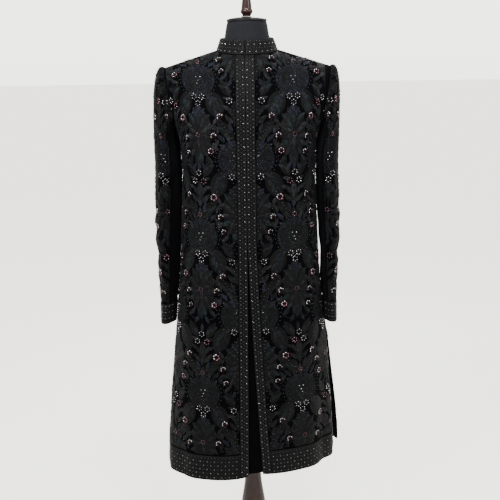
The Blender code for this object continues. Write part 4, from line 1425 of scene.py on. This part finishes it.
def stitch(name, kind, bm, places, uv, thread, up, generator, dark=1.0):
    """A piece of satin stitch, each leaf's thread in its own random tone, with painted shade that darkens it
    toward the hem and on the sleeves.
    """
    table = np.array([tuple(getattr(colours(), word))[:3] for word in THREADS])
    # Painted shade: thread darker toward the hem, and at half brightness on the sleeves (next line); the
    # random share is each leaf's own tone
    shade = generator.uniform(0.45, 1.45, len(thread)) * np.interp(up, (0.45, 1.35), (0.50, 0.92))
    tint = table[thread] * shade[:, None] * (0.50 if "sleeve" in name else 1.0) * dark
    repeated(f"{name}_{kind}", bm, places, material("satin_thread"), uv, tint)


def motif_pieces(name):
    """Every leaf of a piece: across, up, turn, length, width and thread, in metres and radians."""
    rows = []
    for a, b, _ in medallions(name):
        for table, sides in ((LEAVES, (1.0, -1.0)), (MIDDLE_LEAVES, (1.0,))):
            for x, y, length, width, turn, thread in table:
                for side in sides:
                    place = (a + side * x / 1000, b + drawn(y), math.radians(side * turn))
                    rows.append((*place, length, width, thread))
    rows = np.array(rows)
    return rows[kept(cloth(name), rows[:, 0], rows[:, 1])]


def embroider_leaves(name):
    source, rows = cloth(name), motif_pieces(name)
    generator = np.random.default_rng(len(name))
    bm = strip_template(4, 5)
    length = rows[:, 3] / 1000 * generator.uniform(0.94, 1.08, len(rows))
    width = rows[:, 4] / 1000 * generator.uniform(0.86, 1.06, len(rows))
    height = np.full(len(rows), sizes().thread_height) * generator.uniform(0.8, 1.2, len(rows))
    bend = generator.uniform(-0.0022, 0.0022, len(rows))
    turn = rows[:, 2] + generator.uniform(-0.10, 0.10, len(rows))
    x, y, lift, uv = leaf_shape(bm, length, width, height, bend)
    i, j = clamped(source, *lay_flat(source, rows[:, 0], rows[:, 1], turn, x, y))
    stitch(name, "leaves", bm, source.on(i, j, lift), uv, rows[:, 5].astype(int), rows[:, 1], generator)


def embroider_grounds(name):
    """Low, close-stitched grounds that gather the leaves into large figures."""
    source = cloth(name)
    generator = np.random.default_rng(200 + len(name))
    rows = []
    for a, b, _ in medallions(name):
        for number, (x, y, length, turn, mirrored, _) in enumerate(GROUNDS):
            for side in (1.0, -1.0) if mirrored else (1.0,):
                place = (a + side * x / 1000, b + drawn(y), math.radians(side * turn))
                rows.append((*place, drawn(length), number))
    rows = np.array(rows)
    bm = strip_template(8, 30)
    s, t = template_points(bm)[:, 0], template_points(bm)[:, 1]
    half = np.array([np.interp(t, np.linspace(0, 1, len(table[5])), table[5]) / 1000 for table in GROUNDS])
    scallop = 1.0 + 0.07 * np.abs(np.sin(9 * math.pi * t)) - 0.04
    half = half[rows[:, 4].astype(int)] * scallop
    x, y = s * half, rows[:, 3:4] * (t - 0.5)
    i, j = lay_flat(source, rows[:, 0], rows[:, 1], rows[:, 2], x, y)
    left, right, bottom, top = allowed(source)
    held = ((i > left) & (i < right) & (j > bottom) & (j < top)).any(axis=1)
    half, y, up = half[held], y[held], rows[held, 1]
    i, j = clamped(source, i[held], j[held])
    lift = GROUND_HEIGHT * (1 - np.abs(s) ** 6) - 0.0002 + 0.0001 * generator.uniform(size=(len(up), 1))
    uv = np.stack([np.abs(s) * half, y], axis=-1)
    places = source.on(i, j, lift + 0 * i)
    stitch(name, "grounds", bm, places, uv, np.zeros(len(up), int), up, generator, 0.10)


def embroider_medallions(name):
    """Rings of narrow petals round a low stitched boss."""
    source = cloth(name)
    generator = np.random.default_rng(40 + len(name))
    rows = []
    for a, b, _ in medallions(name):
        for count, radius, length, width, turned in RINGS:
            for k in range(count):
                angle = 2 * math.pi * (k + 0.5 * turned) / count
                reach = radius / 1000 * (1.0 + 0.035 * math.cos(angle))
                rows.append((a + reach * math.sin(angle), b + reach * math.cos(angle), angle, length, width))
    rows = np.array(rows)
    rows = rows[kept(source, rows[:, 0], rows[:, 1], 0.8)]
    bm = strip_template(2, 4)
    count = len(rows)
    height = np.full(count, sizes().thread_height * 0.8) * generator.uniform(0.8, 1.2, count)
    length = rows[:, 3] / 1000 * generator.uniform(0.9, 1.1, count)
    x, y, lift, uv = leaf_shape(bm, length, rows[:, 4] / 1000, height, np.zeros(count))
    lift = lift + height[:, None] * 0.5 * np.exp(-((template_points(bm)[None, :, 0] / 0.5) ** 2))
    i, j = clamped(source, *lay_flat(source, rows[:, 0], rows[:, 1], rows[:, 2], x, y))
    thread = np.where(generator.uniform(size=count) < 0.25, 0, np.where(rows[:, 1] > 1.12, 1, 2))
    stitch(name, "medallions", bm, source.on(i, j, lift), uv, thread, rows[:, 1], generator)


def embroider_stems(name):
    """Raised cords that join the leaves, with small buds along them."""
    source = cloth(name)
    generator = np.random.default_rng(80 + len(name))
    bm = strip_template(2, 12)
    s, t = template_points(bm)[:, 0], template_points(bm)[:, 1]
    line_shares = ((1 - t) ** 3, 3 * (1 - t) ** 2 * t, 3 * (1 - t) * t**2, t**3)
    way_shares = (3 * (1 - t) ** 2, 6 * (1 - t) * t, 3 * t**2)
    half = STEM_HALF_WIDTH * (0.25 + 0.75 * np.sin(math.pi * np.clip(t, 0.02, 0.98)) ** 0.5)
    across, up, keep = [], [], []
    for a, b, _ in medallions(name):
        for points in STEMS:
            for side in (1.0, -1.0):
                p = [np.array((side * x / 1000, drawn(y))) for x, y in points]
                line = sum(share[:, None] * q for share, q in zip(line_shares, p))
                way = sum(share[:, None] * (after - q) for share, q, after in zip(way_shares, p, p[1:]))
                way /= np.linalg.norm(way, axis=1, keepdims=True)
                across.append(a + line[:, 0] + way[:, 1] * s * half)
                up.append(b + line[:, 1] - way[:, 0] * s * half)
                keep.append((a + line[:, 0].mean(), b + line[:, 1].mean()))
    across, up, keep = np.array(across), np.array(up), np.array(keep)
    inside = kept(source, keep[:, 0], keep[:, 1], 1.0)
    across, up = across[inside], up[inside]
    i, j, _ = source.find(across, up)
    lift = (STEM_HEIGHT * np.sqrt(np.maximum(1 - s**2, 0)) - 0.0001)[None, :] * np.ones((len(across), 1))
    uv = np.stack([np.abs(s)[None, :] * 0.001 + 0 * across, t[None, :] * 0.06 + 0 * across], axis=-1)
    thread = generator.integers(0, 4, len(across))
    places = source.on(*clamped(source, i, j), lift)
    stitch(name, "stems", bm, places, uv, thread, up.mean(axis=1), generator)


def petals(name):
    """The beads of a piece's flowers: across, up, length, width, height, turn and finish for each."""
    generator = np.random.default_rng(120 + len(name))
    source, rows = cloth(name), []
    for a, b, way in medallions(name):
        rows += [(a + way * x / 1000, b + drawn(y), r / 1000, kind) for x, y, r, kind in FLOWERS]
    if "sleeve" in name:
        rows += [(a, b, r / 1000, kind) for a, b, r, kind in CUFF_FLOWERS]
    rows = np.array(rows)
    beads = []

    def bead(angle, reach, *values):
        beads.append((a + reach * math.sin(angle), b + reach * math.cos(angle), *values))

    for a, b, radius, kind in rows[kept(source, rows[:, 0], rows[:, 1], 1.2)]:
        start = generator.uniform(-0.25, 0.25)
        ring = kind >= 2
        for k, finish in enumerate(PETAL_FINISHES[int(kind)]):
            angle = start + k * math.pi / 3
            size = radius * (RING_SIZE if ring else PETAL_SIZE) * generator.uniform(0.88, 1.10)
            wide = size if ring else size * PETAL_LENGTH
            reach = radius * (RING_REACH if ring else PETAL_REACH)
            bead(angle, reach, wide, size, size * 0.8, -angle, finish)
        if not ring:
            bead(0.0, 0.0, radius * HEART_SIZE, radius * HEART_SIZE, radius * 0.10, 0.0, HEART_AND_SHADE)
        if not ring and radius > HALO_FROM:
            for k in range(10):
                size = radius * generator.uniform(0.17, 0.23)
                bead(start + (k + 0.5) * math.pi / 5, radius * HALO_REACH, size, size, size * 0.7, 0.0, HALO)
    return np.array(beads)


def bead_flowers():
    stands, rows = [], []
    for piece in COAT_PIECES:
        beads = petals(piece)
        i, j, _ = cloth(piece).find(beads[:, 0], beads[:, 1])
        stands.append(cloth(piece).standing(i, j))
        rows.append(beads)
    rows = np.vstack(rows)
    for finish, (name, colour) in enumerate(FLOWER_FINISHES):
        chosen = rows[:, 6] == finish
        point, sideways, upward, out = (np.vstack(part)[chosen] for part in zip(*stands))
        stand = (point + out * FLOWER_SEAT, sideways, upward, out)
        domes(name, stand, rows[chosen, 2:5], rows[chosen, 5], colour)


def beads_over(name, places, margin, size, lift, finish):
    """Beads of one size over the whole coat, at the places that a function gives for each medallion."""
    stands = []
    for piece in COAT_PIECES:
        source = cloth(piece)
        rows = np.array([place for medallion in medallions(piece) for place in places(*medallion)])
        i, j, _ = source.find(*rows[kept(source, rows[:, 0], rows[:, 1], margin)].T)
        stands.append(source.standing(i, j))
    domes_alike(name, stands, size, finish, lift)


def medallion_studs(a, b, way):
    return [(a + way * x / 1000, b + y / 1000) for x, y in CENTRE_STUDS]


def seed_beads(a, b, _):
    """Dark beads that edge a medallion and fill the ground beside the placket."""
    angles = [2 * math.pi * k / 30 for k in range(30)]
    rows = [(a + 0.0495 * math.sin(angle), b + 0.0510 * math.cos(angle)) for angle in angles]
    rows += [(a + x / 1000, b + y / 1000) for x, y in BOSS_BEADS]
    for side in (1.0, -1.0):
        for t in even(0.0, 1.0, 10):
            rows.append((a + side * (0.006 + 0.040 * math.sin(math.pi * t * 0.75)), b - 0.068 - 0.130 * t))
        for t in even(0.0, 1.0, 7):
            rows.append((a + side * (0.012 + 0.034 * t), b + 0.064 + 0.050 * t**1.6))
    return rows


# Studs and stitches on the borders and seams


def standing_on(source, c, r, lift):
    """Stands at columns and rows of a surface, lifted off it."""
    i, j = source.index(*np.broadcast_arrays(c, r))
    point, sideways, upward, out = source.standing(i, j)
    return point + out * lift, sideways, upward, out


def row_at(height):
    return height / (CHEST_Z - HEM_Z)


def cuff_row(height):
    return height / (SLEEVE_TOP_Z - SLEEVE_BOTTOM_Z)


def rows_by_height(source, c, pitch, start, end):
    """Rows of the source's surface at even distances up one column."""
    i, _ = source.index(c, 0.0)
    count = len(source.rows)
    column = source.read(source.up, np.full(count, float(i)), np.arange(count, dtype=float))
    return np.interp(np.arange(start, end, pitch), column, source.rows)


def border_studs():
    """Bright studs and the dimmer beads between them, for every border."""
    pitch = sizes().stud_pitch
    bright, soft, dim = [], [], []

    def lay(kind, source, c, r):
        kind.append(standing_on(source, c, r, STUD_SEAT + (0.0 if source.name == "collar" else BAND_LIFT)))

    for word in ("right", "left"):
        source = cloth(word + "_front")
        top = source.up[-1, 2] - 0.012
        columns = ((bright, 0.0048, 0.0), (soft, 0.0176, 0.5), (dim, 0.0112, 0.25), (dim, 0.0112, 0.75))
        for kind, distance, shift in (*columns, (dim, 0.0048, 0.5), (dim, 0.0176, 0.0)):
            c = distance * (PLACKET_SHARE / PLACKET_WIDTH)
            lay(kind, source, c, rows_by_height(source, c, pitch, HEM_Z + 0.012 + shift * pitch, top))
        for distance, shift in ((0.0270, 0.0), (0.0330, 0.5)):
            c = PLACKET_SHARE + (distance - PLACKET_WIDTH) / 0.25 * (1 - PLACKET_SHARE)
            lay(dim, source, c, rows_by_height(source, c, pitch, HEM_Z + 0.080 + shift * pitch, top - 0.01))
    for panel, width in (("right_front", 0.290), ("left_front", 0.275), ("back", 0.520)):
        source = cloth(panel)
        first = 0.004 if panel == "back" else PLACKET_SHARE + 0.02
        count = round(width / pitch)
        for k, height in enumerate(HEM_STUD_HEIGHTS):
            c = np.linspace(first + 0.01, SIDE_EDGE, count)
            between = (c[1:] + c[:-1]) / 2
            lay(soft, source, between if k % 2 else c, row_at(height))
            lay(dim, source, c if k % 2 else between, row_at(height))
        lay(dim, source, np.linspace(first + 0.01, SIDE_EDGE, 2 * count), row_at(0.0620))
    for word in ("right", "left"):
        source = cloth(word + "_sleeve")
        for k, height in enumerate(CUFF_STUD_HEIGHTS):
            u = (np.arange(CUFF_STUDS) + 0.5 * (k % 2)) / CUFF_STUDS
            lay(dim, source, u, cuff_row(height))
            if k % 2:
                lay(soft, source, u[::2] + 0.25 / CUFF_STUDS, cuff_row(height))
    rows = ((bright, 0.66, 29, 0.0), (bright, 0.16, 29, 0.5), (dim, 0.41, 58, 0.0), (dim, 0.88, 58, 0.5))
    for kind, h, count, shift in rows:
        c = (np.arange(count) + 0.4 + 0.5 * shift) / count
        lay(kind, cloth("collar"), c[c < 0.992], h)
    return bright, soft, dim


def topstitching():
    """Every stitch along the edges and seams: where it stands, and its turn."""
    pitch = sizes().stitch_pitch
    stands, turns = [], []

    def run(source, c, r, lift=0.0, turn=0.0):
        stands.append(standing_on(source, c, r, lift))
        turns.append(np.full(len(stands[-1][0]), turn))

    def climb(source, c, start, end, lift=0.0):
        run(source, c, rows_by_height(source, c, pitch, HEM_Z + start, end), lift, math.pi / 2)

    for word in ("right", "left"):
        source, sleeve = cloth(word + "_front"), cloth(word + "_sleeve")
        for c in (0.006, PLACKET_SHARE - 0.006):
            climb(source, c, 0.008, source.up[-1, 2] - 0.012, BAND_LIFT)
        climb(source, SIDE_EDGE, 0.004, 1.24)
        for height in BORDER_EDGES:
            run(source, np.linspace(PLACKET_SHARE + 0.01, 0.99, 52), row_at(height), BAND_LIFT)
        run(source, np.linspace(NECK_SHARE, 0.99, 28), 1.985)
        for height in CUFF_EDGES:
            run(sleeve, np.arange(54) / 54, cuff_row(height), BAND_LIFT)
        run(sleeve, np.arange(100) / 100, 1.972)
    source = cloth("back")
    for height in BORDER_EDGES:
        run(source, np.linspace(0.01, 0.99, 108), row_at(height), BAND_LIFT)
    for c in (0.010, 0.990):
        climb(source, c, 0.004, 1.24)
    for h in (0.045, 0.955):
        run(cloth("collar"), np.linspace(0.006, 0.994, 88), h)
    for c in (0.008, 0.992):
        run(cloth("collar"), c, np.linspace(0.08, 0.92, 8), 0.0, math.pi / 2)
    return stands, turns


# Operators


def length_property(name, description, default):
    return FloatProperty(name=name, description=description, default=default, unit="LENGTH")


class SherwaniSizes(bpy.types.PropertyGroup):
    motif_repeat: length_property("Motif repeat", "Height from one medallion to the next", 0.3925)
    column_spacing: length_property("Column spacing", "Distance between two columns of medallions", 0.094)
    front_column: length_property("First column", "Distance of the first column from the front edge", 0.024)
    first_medallion: length_property("Lowest medallion", "Height of the lowest whole medallion", 0.621)
    thread_height: length_property("Thread height", "How far the satin stitch stands out", 0.0015)
    stud_width: length_property("Stud width", "Width of a bright stud", 0.0032)
    stud_pitch: length_property("Stud pitch", "Distance between two studs in a row", 0.0183)
    stitch_pitch: length_property("Stitch pitch", "Distance between two stitches in a seam", 0.0048)
    turned_segments: IntProperty(
        name="Turned segments", description="Facets round the turned pieces", default=64, min=16, max=128
    )


def colour_property(name, description, *default):
    return FloatVectorProperty(
        name=name, description=description, default=default, size=3, subtype="COLOR", min=0, max=1
    )


class SherwaniColours(bpy.types.PropertyGroup):
    velvet: colour_property("Velvet", "Ground cloth", 0.0012, 0.0012, 0.0017)
    charcoal: colour_property("Charcoal thread", "Most leaves", 0.0096, 0.0104, 0.0124)
    navy: colour_property("Navy thread", "Upper medallions", 0.0072, 0.0084, 0.0165)
    teal: colour_property("Teal thread", "Lower medallions and leaf tips", 0.0062, 0.0108, 0.0125)
    smoke: colour_property("Smoke thread", "Small leaves", 0.0130, 0.0122, 0.0142)
    silver: colour_property("Silver beads", "Studs and bright flowers", 0.37, 0.355, 0.37)
    rose: colour_property("Rose beads", "Pink flowers", 0.235, 0.130, 0.155)
    plum: colour_property("Plum beads", "Centres and outer beads of the flowers", 0.019, 0.009, 0.011)
    pewter: colour_property("Pewter beads", "Studs of the hem and cuffs", 0.19, 0.185, 0.185)
    dark_bead: colour_property("Dark beads", "Small beads", 0.085, 0.085, 0.09)
    border: colour_property("Border", "Ground of the studded borders", 0.0042, 0.0044, 0.0050)
    sewing: colour_property("Sewing thread", "Seams and hems", 0.012, 0.012, 0.014)
    form: colour_property("Form cover", "Jersey over the dress form", 0.0105, 0.0115, 0.0145)
    wood: colour_property("Wood", "Finial, column and base", 0.024, 0.0095, 0.0075)
    steel: colour_property("Steel", "Pole and washer", 0.60, 0.60, 0.60)
    cap: colour_property("Cap", "Neck cap", 0.010, 0.010, 0.010)
    floor: colour_property("Floor", "Floor and light", 0.88, 0.865, 0.83)


class SHERWANI_OT_stage(bpy.types.Operator):
    """Pale floor, soft studio light and the photograph's camera"""

    bl_idname = "sherwani.stage"
    bl_label = "Stage"

    def execute(self, context):
        lens = bpy.data.cameras.new("camera")
        lens.sensor_width = 36.0
        lens.lens = FOCAL_PIXELS / PICTURE_PIXELS * 36
        camera = placed("camera", lens)
        tilt = Matrix.Rotation(math.pi / 2 - math.atan(CAMERA_DROP), 4, "X")
        roll = Matrix.Rotation(math.radians(CAMERA_ROLL), 4, "Z")
        camera.matrix_world = Matrix.Translation(CAMERA_PLACE) @ tilt @ roll
        context.scene.camera = camera
        bm = bmesh.new()
        bmesh.ops.create_circle(bm, cap_ends=True, radius=120.0, segments=64)
        data = bpy.data.meshes.new("floor")
        bm.to_mesh(data)
        bm.free()
        data.materials.append(material("pale_floor"))
        placed("floor", data)
        world = bpy.data.worlds.new("studio")
        world.use_nodes = True
        links, made = world.node_tree.links, world.node_tree.nodes
        where = made.new("ShaderNodeTexCoord")
        parts = made.new("ShaderNodeSeparateXYZ")
        links.new(where.outputs["Generated"], parts.inputs["Vector"])
        stops = [(place, shaded(colours().floor, light)) for place, light in STUDIO_WALL]
        links.new(ramp(made, links, parts.outputs["Z"], stops), made["Background"].inputs["Color"])
        links.new(seen_only(made, links, 1.0, WALL_GLOW), made["Background"].inputs["Strength"])
        context.scene.world = world
        for name, (place, aim, size, power) in LAMPS.items():
            light = bpy.data.lights.new(name, "AREA")
            light.size = size
            light.energy = power
            lamp = placed(name, light)
            lamp.location = place
            lamp.rotation_euler = (Vector(aim) - Vector(place)).to_track_quat("-Z", "Y").to_euler()
        return {"FINISHED"}


def coat_panel(name, flat, area, held, wraps=False, wall=WALL, finish="black_velvet", slot="velvet"):
    """A piece of the coat on its own grid, shown in place of the source's solid."""
    source = cloth(name)
    piece = shell(name + "_cloth", source, source.columns, source.rows, 0.0, wall, material(finish), wraps)
    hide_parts(name)


class SHERWANI_OT_fronts(bpy.types.Operator):
    """The two velvet fronts"""

    bl_idname = "sherwani.fronts"
    bl_label = "Fronts"

    def execute(self, context):
        for name in ("right_front", "left_front"):
            coat_panel(name, (0.305, 1.110), 0.296, "draped")
        return {"FINISHED"}


class SHERWANI_OT_back(bpy.types.Operator):
    """The velvet back, in one piece"""

    bl_idname = "sherwani.back"
    bl_label = "Back"

    def execute(self, context):
        coat_panel("back", (0.540, 1.130), 0.532, "draped")
        return {"FINISHED"}


class SHERWANI_OT_sleeves(bpy.types.Operator):
    """The two velvet sleeves, hanging empty"""

    bl_idname = "sherwani.sleeves"
    bl_label = "Sleeves"

    def execute(self, context):
        for name in ("right_sleeve", "left_sleeve"):
            coat_panel(name, (0.400, 0.660), 0.185, "hung", wraps=True)
        return {"FINISHED"}


class SHERWANI_OT_under_placket(bpy.types.Operator):
    """The plain velvet strip behind the front edges"""

    bl_idname = "sherwani.under_placket"
    bl_label = "Under placket"

    def execute(self, context):
        rows = np.array(even(UNDER_PLACKET_HEM_R, row_at(OPEN_FROM_Z + 0.075 - HEM_Z), 120))
        slack = np.array([UNDER_PLACKET_SLACK * open_share(mix(HEM_Z, CHEST_Z, r)) for r in rows])
        line = []
        for name, ends in (("right_front", (PLACKET_SHARE, 0.0)), ("left_front", (0.0, PLACKET_SHARE))):
            for c in even(*ends, 6):
                i, j = cloth(name).index(np.full(len(rows), c), rows)
                line.append(cloth(name).on(i, j, -(WALL + SEAM_GAP + slack)))
        bridge = [mix(line[6], line[7], share) for share in (0.2, 0.4, 0.6, 0.8)]
        points = np.stack(line[:7] + bridge + line[7:], axis=1)
        up = np.repeat(points[:, :1, 2], points.shape[1], axis=1)
        bm = sheet_mesh(points, running(points), up, False, False)
        piece = add_piece("under_placket_cloth", bm, material("black_velvet"))
        add_wall(piece, UNDER_PLACKET_WALL)
        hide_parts("under_placket")
        return {"FINISHED"}


class SHERWANI_OT_collar(bpy.types.Operator):
    """The stand collar"""

    bl_idname = "sherwani.collar"
    bl_label = "Collar"

    def execute(self, context):
        look = {"wall": COLLAR_WALL, "finish": "studded_net", "slot": "studded_border"}
        coat_panel("collar", (0.420, 0.036), 0.0130, "hung", **look)
        return {"FINISHED"}


def band(name, replaced, source, columns, rows, wraps=False):
    """A studded border laid on a piece of the coat."""
    piece = shell(name, source, columns, rows, BAND_LIFT, BORDER_WALL, material("studded_net"), wraps)
    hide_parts(replaced)


class SHERWANI_OT_borders(bpy.types.Operator):
    """The studded bands on the front edges, hems and cuffs"""

    bl_idname = "sherwani.borders"
    bl_label = "Borders"

    def execute(self, context):
        for name, width in (("right_front", 0.305), ("left_front", 0.305), ("back", 0.525)):
            source = cloth(name)
            columns = source.columns
            if name != "back":
                columns = np.concatenate([[PLACKET_SHARE + 0.002], columns[columns > PLACKET_SHARE + 0.003]])
            rows = source.rows[source.rows <= HEM_BORDER_R + 1e-6]
            band(name + "_hem_band", name + "_hem_border", source, columns, rows)
        for word in ("right", "left"):
            source = cloth(word + "_front")
            columns = even(0.002, PLACKET_SHARE - 0.002, 6)
            rows = np.concatenate([source.rows[source.rows < 1.985], [1.988]])
            band(word + "_placket_band", word + "_placket_border", source, columns, rows)
            source = cloth(word + "_sleeve")
            rows = source.rows[source.rows <= CUFF_BORDER_V + 1e-6]
            band(word + "_cuff_band", word + "_cuff_border", source, source.columns, rows, True)
        return {"FINISHED"}


class SHERWANI_OT_embroidery(bpy.types.Operator):
    """Raised leaves, medallions and stems in satin stitch"""

    bl_idname = "sherwani.embroidery"
    bl_label = "Embroidery"

    def execute(self, context):
        for name in COAT_PIECES:
            embroider_grounds(name)
            embroider_leaves(name)
            embroider_medallions(name)
            embroider_stems(name)
        return {"FINISHED"}


class SHERWANI_OT_bead_flowers(bpy.types.Operator):
    """Silver, rose and dark bead flowers, and the small beads of the ground"""

    bl_idname = "sherwani.bead_flowers"
    bl_label = "Bead flowers"

    def execute(self, context):
        bead_flowers()
        beads_over("medallion_studs", medallion_studs, 1.0, (0.0019, 0.0019, 0.0015), 0.0014, "silver_beads")
        beads_over("seed_beads", seed_beads, 0.8, (0.0011, 0.0011, 0.0011), 0.0005, "dark_beads")
        return {"FINISHED"}


class SHERWANI_OT_studs(bpy.types.Operator):
    """Studs and beads on the borders"""

    bl_idname = "sherwani.studs"
    bl_label = "Studs"

    def execute(self, context):
        names = ("border_studs", "hem_and_cuff_studs", "border_beads")
        finishes = ("silver_beads", "pewter_beads", "dark_beads")
        for name, stands, share, finish in zip(names, border_studs(), (1, 0.95, 0.62), finishes):
            size = sizes().stud_width / 2 * share
            domes_alike(name, stands, (size, size, size * 0.8), finish)
        return {"FINISHED"}


class SHERWANI_OT_stitching(bpy.types.Operator):
    """Topstitching along edges and seams"""

    bl_idname = "sherwani.stitching"
    bl_label = "Stitching"

    def execute(self, context):
        stands, turns = topstitching()
        domes_alike("topstitching", stands, (0.0016, 0.00045, 0.0004), "sewing_thread", turns=turns)
        return {"FINISHED"}


def smooth_profile(profile, steps):
    """More points on a smooth curve through a turned profile."""
    points = [Vector((radius, z, 0)) for radius, z in profile]
    points = [points[0] * 2 - points[1]] + points + [points[-1] * 2 - points[-2]]
    fine = []
    for k in range(1, len(points) - 2):
        a, b, c, d = points[k - 1 : k + 3]
        for t in [n / steps for n in range(steps)]:
            curve = (a * 2 - b * 5 + c * 4 - d) * t**2
            p = (b * 2 + (c - a) * t + curve + (b * 3 - a - c * 3 + d) * t**3) / 2
            fine.append((max(p.x, 0.0005), min(max(p.y, profile[0][1]), profile[-1][1])))
    return fine + [profile[-1]]


def turned_piece(name, replaced, profile, finish, centre_y=0.0):
    """A closed solid spun from its profile about an upright axis."""
    bm = bmesh.new()
    verts = [bm.verts.new((radius, centre_y, z)) for radius, z in profile]
    geometry = verts + [bm.edges.new(pair) for pair in zip(verts, verts[1:])]
    spin = {"cent": (0, centre_y, 0), "axis": (0, 0, 1), "angle": 2 * math.pi, "use_merge": True}
    bmesh.ops.spin(bm, geom=geometry, steps=sizes().turned_segments, **spin)
    bmesh.ops.remove_doubles(bm, verts=bm.verts[:], dist=1e-6)
    bmesh.ops.holes_fill(bm, edges=bm.edges[:], sides=0)
    bmesh.ops.recalc_face_normals(bm, faces=bm.faces[:])
    piece = add_piece(name, bm, material(finish), TURNED_SMOOTH)
    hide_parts(replaced)


def refinish(solid, finish):
    """Gives a solid of the frame its finish, and leaves its shape."""
    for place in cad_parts[solid].material_slots:
        place.material = material(finish)


class SHERWANI_OT_stand(bpy.types.Operator):
    """Finial, washer, neck cap, column, base and pole"""

    bl_idname = "sherwani.stand"
    bl_label = "Stand"

    def execute(self, context):
        finial, cap = smooth_profile(FINIAL_PROFILE, 5), smooth_profile(NECK_CAP_PROFILE, 4)
        column, base = smooth_profile(COLUMN_PROFILE, 5), smooth_profile(BASE_PROFILE, 4)
        turned_piece("finial_turning", "finial", finial, "lacquered_wood", NECK_CENTRE_Y)
        turned_piece("neck_cap_disc", "neck_cap", cap, "dark_cap", NECK_CENTRE_Y)
        turned_piece("washer_ring", "washer", WASHER_PROFILE, "bright_steel", NECK_CENTRE_Y)
        turned_piece("column_turning", "stand_column", column, "lacquered_wood")
        turned_piece("base_disc", "stand_base", base, "lacquered_wood")
        refinish("pole", "bright_steel")
        return {"FINISHED"}


class SHERWANI_OT_form(bpy.types.Operator):
    """The form's jersey cover and the gathered cloth of its neck"""

    bl_idname = "sherwani.form"
    bl_label = "Form"

    def execute(self, context):
        refinish("dress_form", "jersey")
        rows = even(FORM_NECK[0][0], FORM_NECK[-1][0], 30)
        columns = even(0.0, 1.0, 96)
        points = np.empty((len(rows), len(columns), 3))
        for j, level in enumerate(rows):
            tilt, half_width, front, back = from_table(FORM_NECK, level)
            for i, share in enumerate(columns):
                angle = 2 * math.pi * share
                sine, cosine = math.sin(angle), math.cos(angle)
                grow = 0.0005 + 0.0003 * math.sin(9 * angle) * (j / 30) ** 3
                depth = (front if cosine > 0 else back) + grow
                points[j, i] = ((half_width + grow) * sine, -depth * cosine, level - tilt * cosine)
        points[:, -1] = points[:, 0]
        across = np.repeat(np.array(columns)[None, :] * 0.33, len(rows), axis=0)
        bm = sheet_mesh(points, across, points[..., 2], False, True)
        add_piece("neck_cover", bm, material("jersey"))
        return {"FINISHED"}


OPERATORS = (
    SHERWANI_OT_stage,
    SHERWANI_OT_form,
    SHERWANI_OT_stand,
    SHERWANI_OT_fronts,
    SHERWANI_OT_back,
    SHERWANI_OT_sleeves,
    SHERWANI_OT_under_placket,
    SHERWANI_OT_collar,
    SHERWANI_OT_borders,
    SHERWANI_OT_embroidery,
    SHERWANI_OT_bead_flowers,
    SHERWANI_OT_studs,
    SHERWANI_OT_stitching,
)


class SHERWANI_PT_pieces(bpy.types.Panel):
    """Lists the coat's pieces, sizes and colours"""

    bl_idname = "SHERWANI_PT_pieces"
    bl_label = "Sherwani coat"
    bl_space_type = "VIEW_3D"
    bl_region_type = "UI"
    bl_category = "Sherwani"

    def draw(self, context):
        for operator in OPERATORS:
            self.layout.operator(operator.bl_idname)
        for group in (context.scene.sherwani_sizes, context.scene.sherwani_colours):
            for name in group.__annotations__:
                self.layout.prop(group, name)


CLASSES = (SherwaniSizes, SherwaniColours, *OPERATORS, SHERWANI_PT_pieces)


def register():
    for made in CLASSES:
        bpy.utils.register_class(made)
    bpy.types.Scene.sherwani_sizes = PointerProperty(type=SherwaniSizes)
    bpy.types.Scene.sherwani_colours = PointerProperty(type=SherwaniColours)


def unregister():
    del bpy.types.Scene.sherwani_colours
    del bpy.types.Scene.sherwani_sizes
    for made in reversed(CLASSES):
        bpy.utils.unregister_class(made)


def main():
    register()
    for operator in OPERATORS:
        area, action = operator.bl_idname.split(".")
        getattr(getattr(bpy.ops, area), action)()


if __name__ == "__main__":
    main()
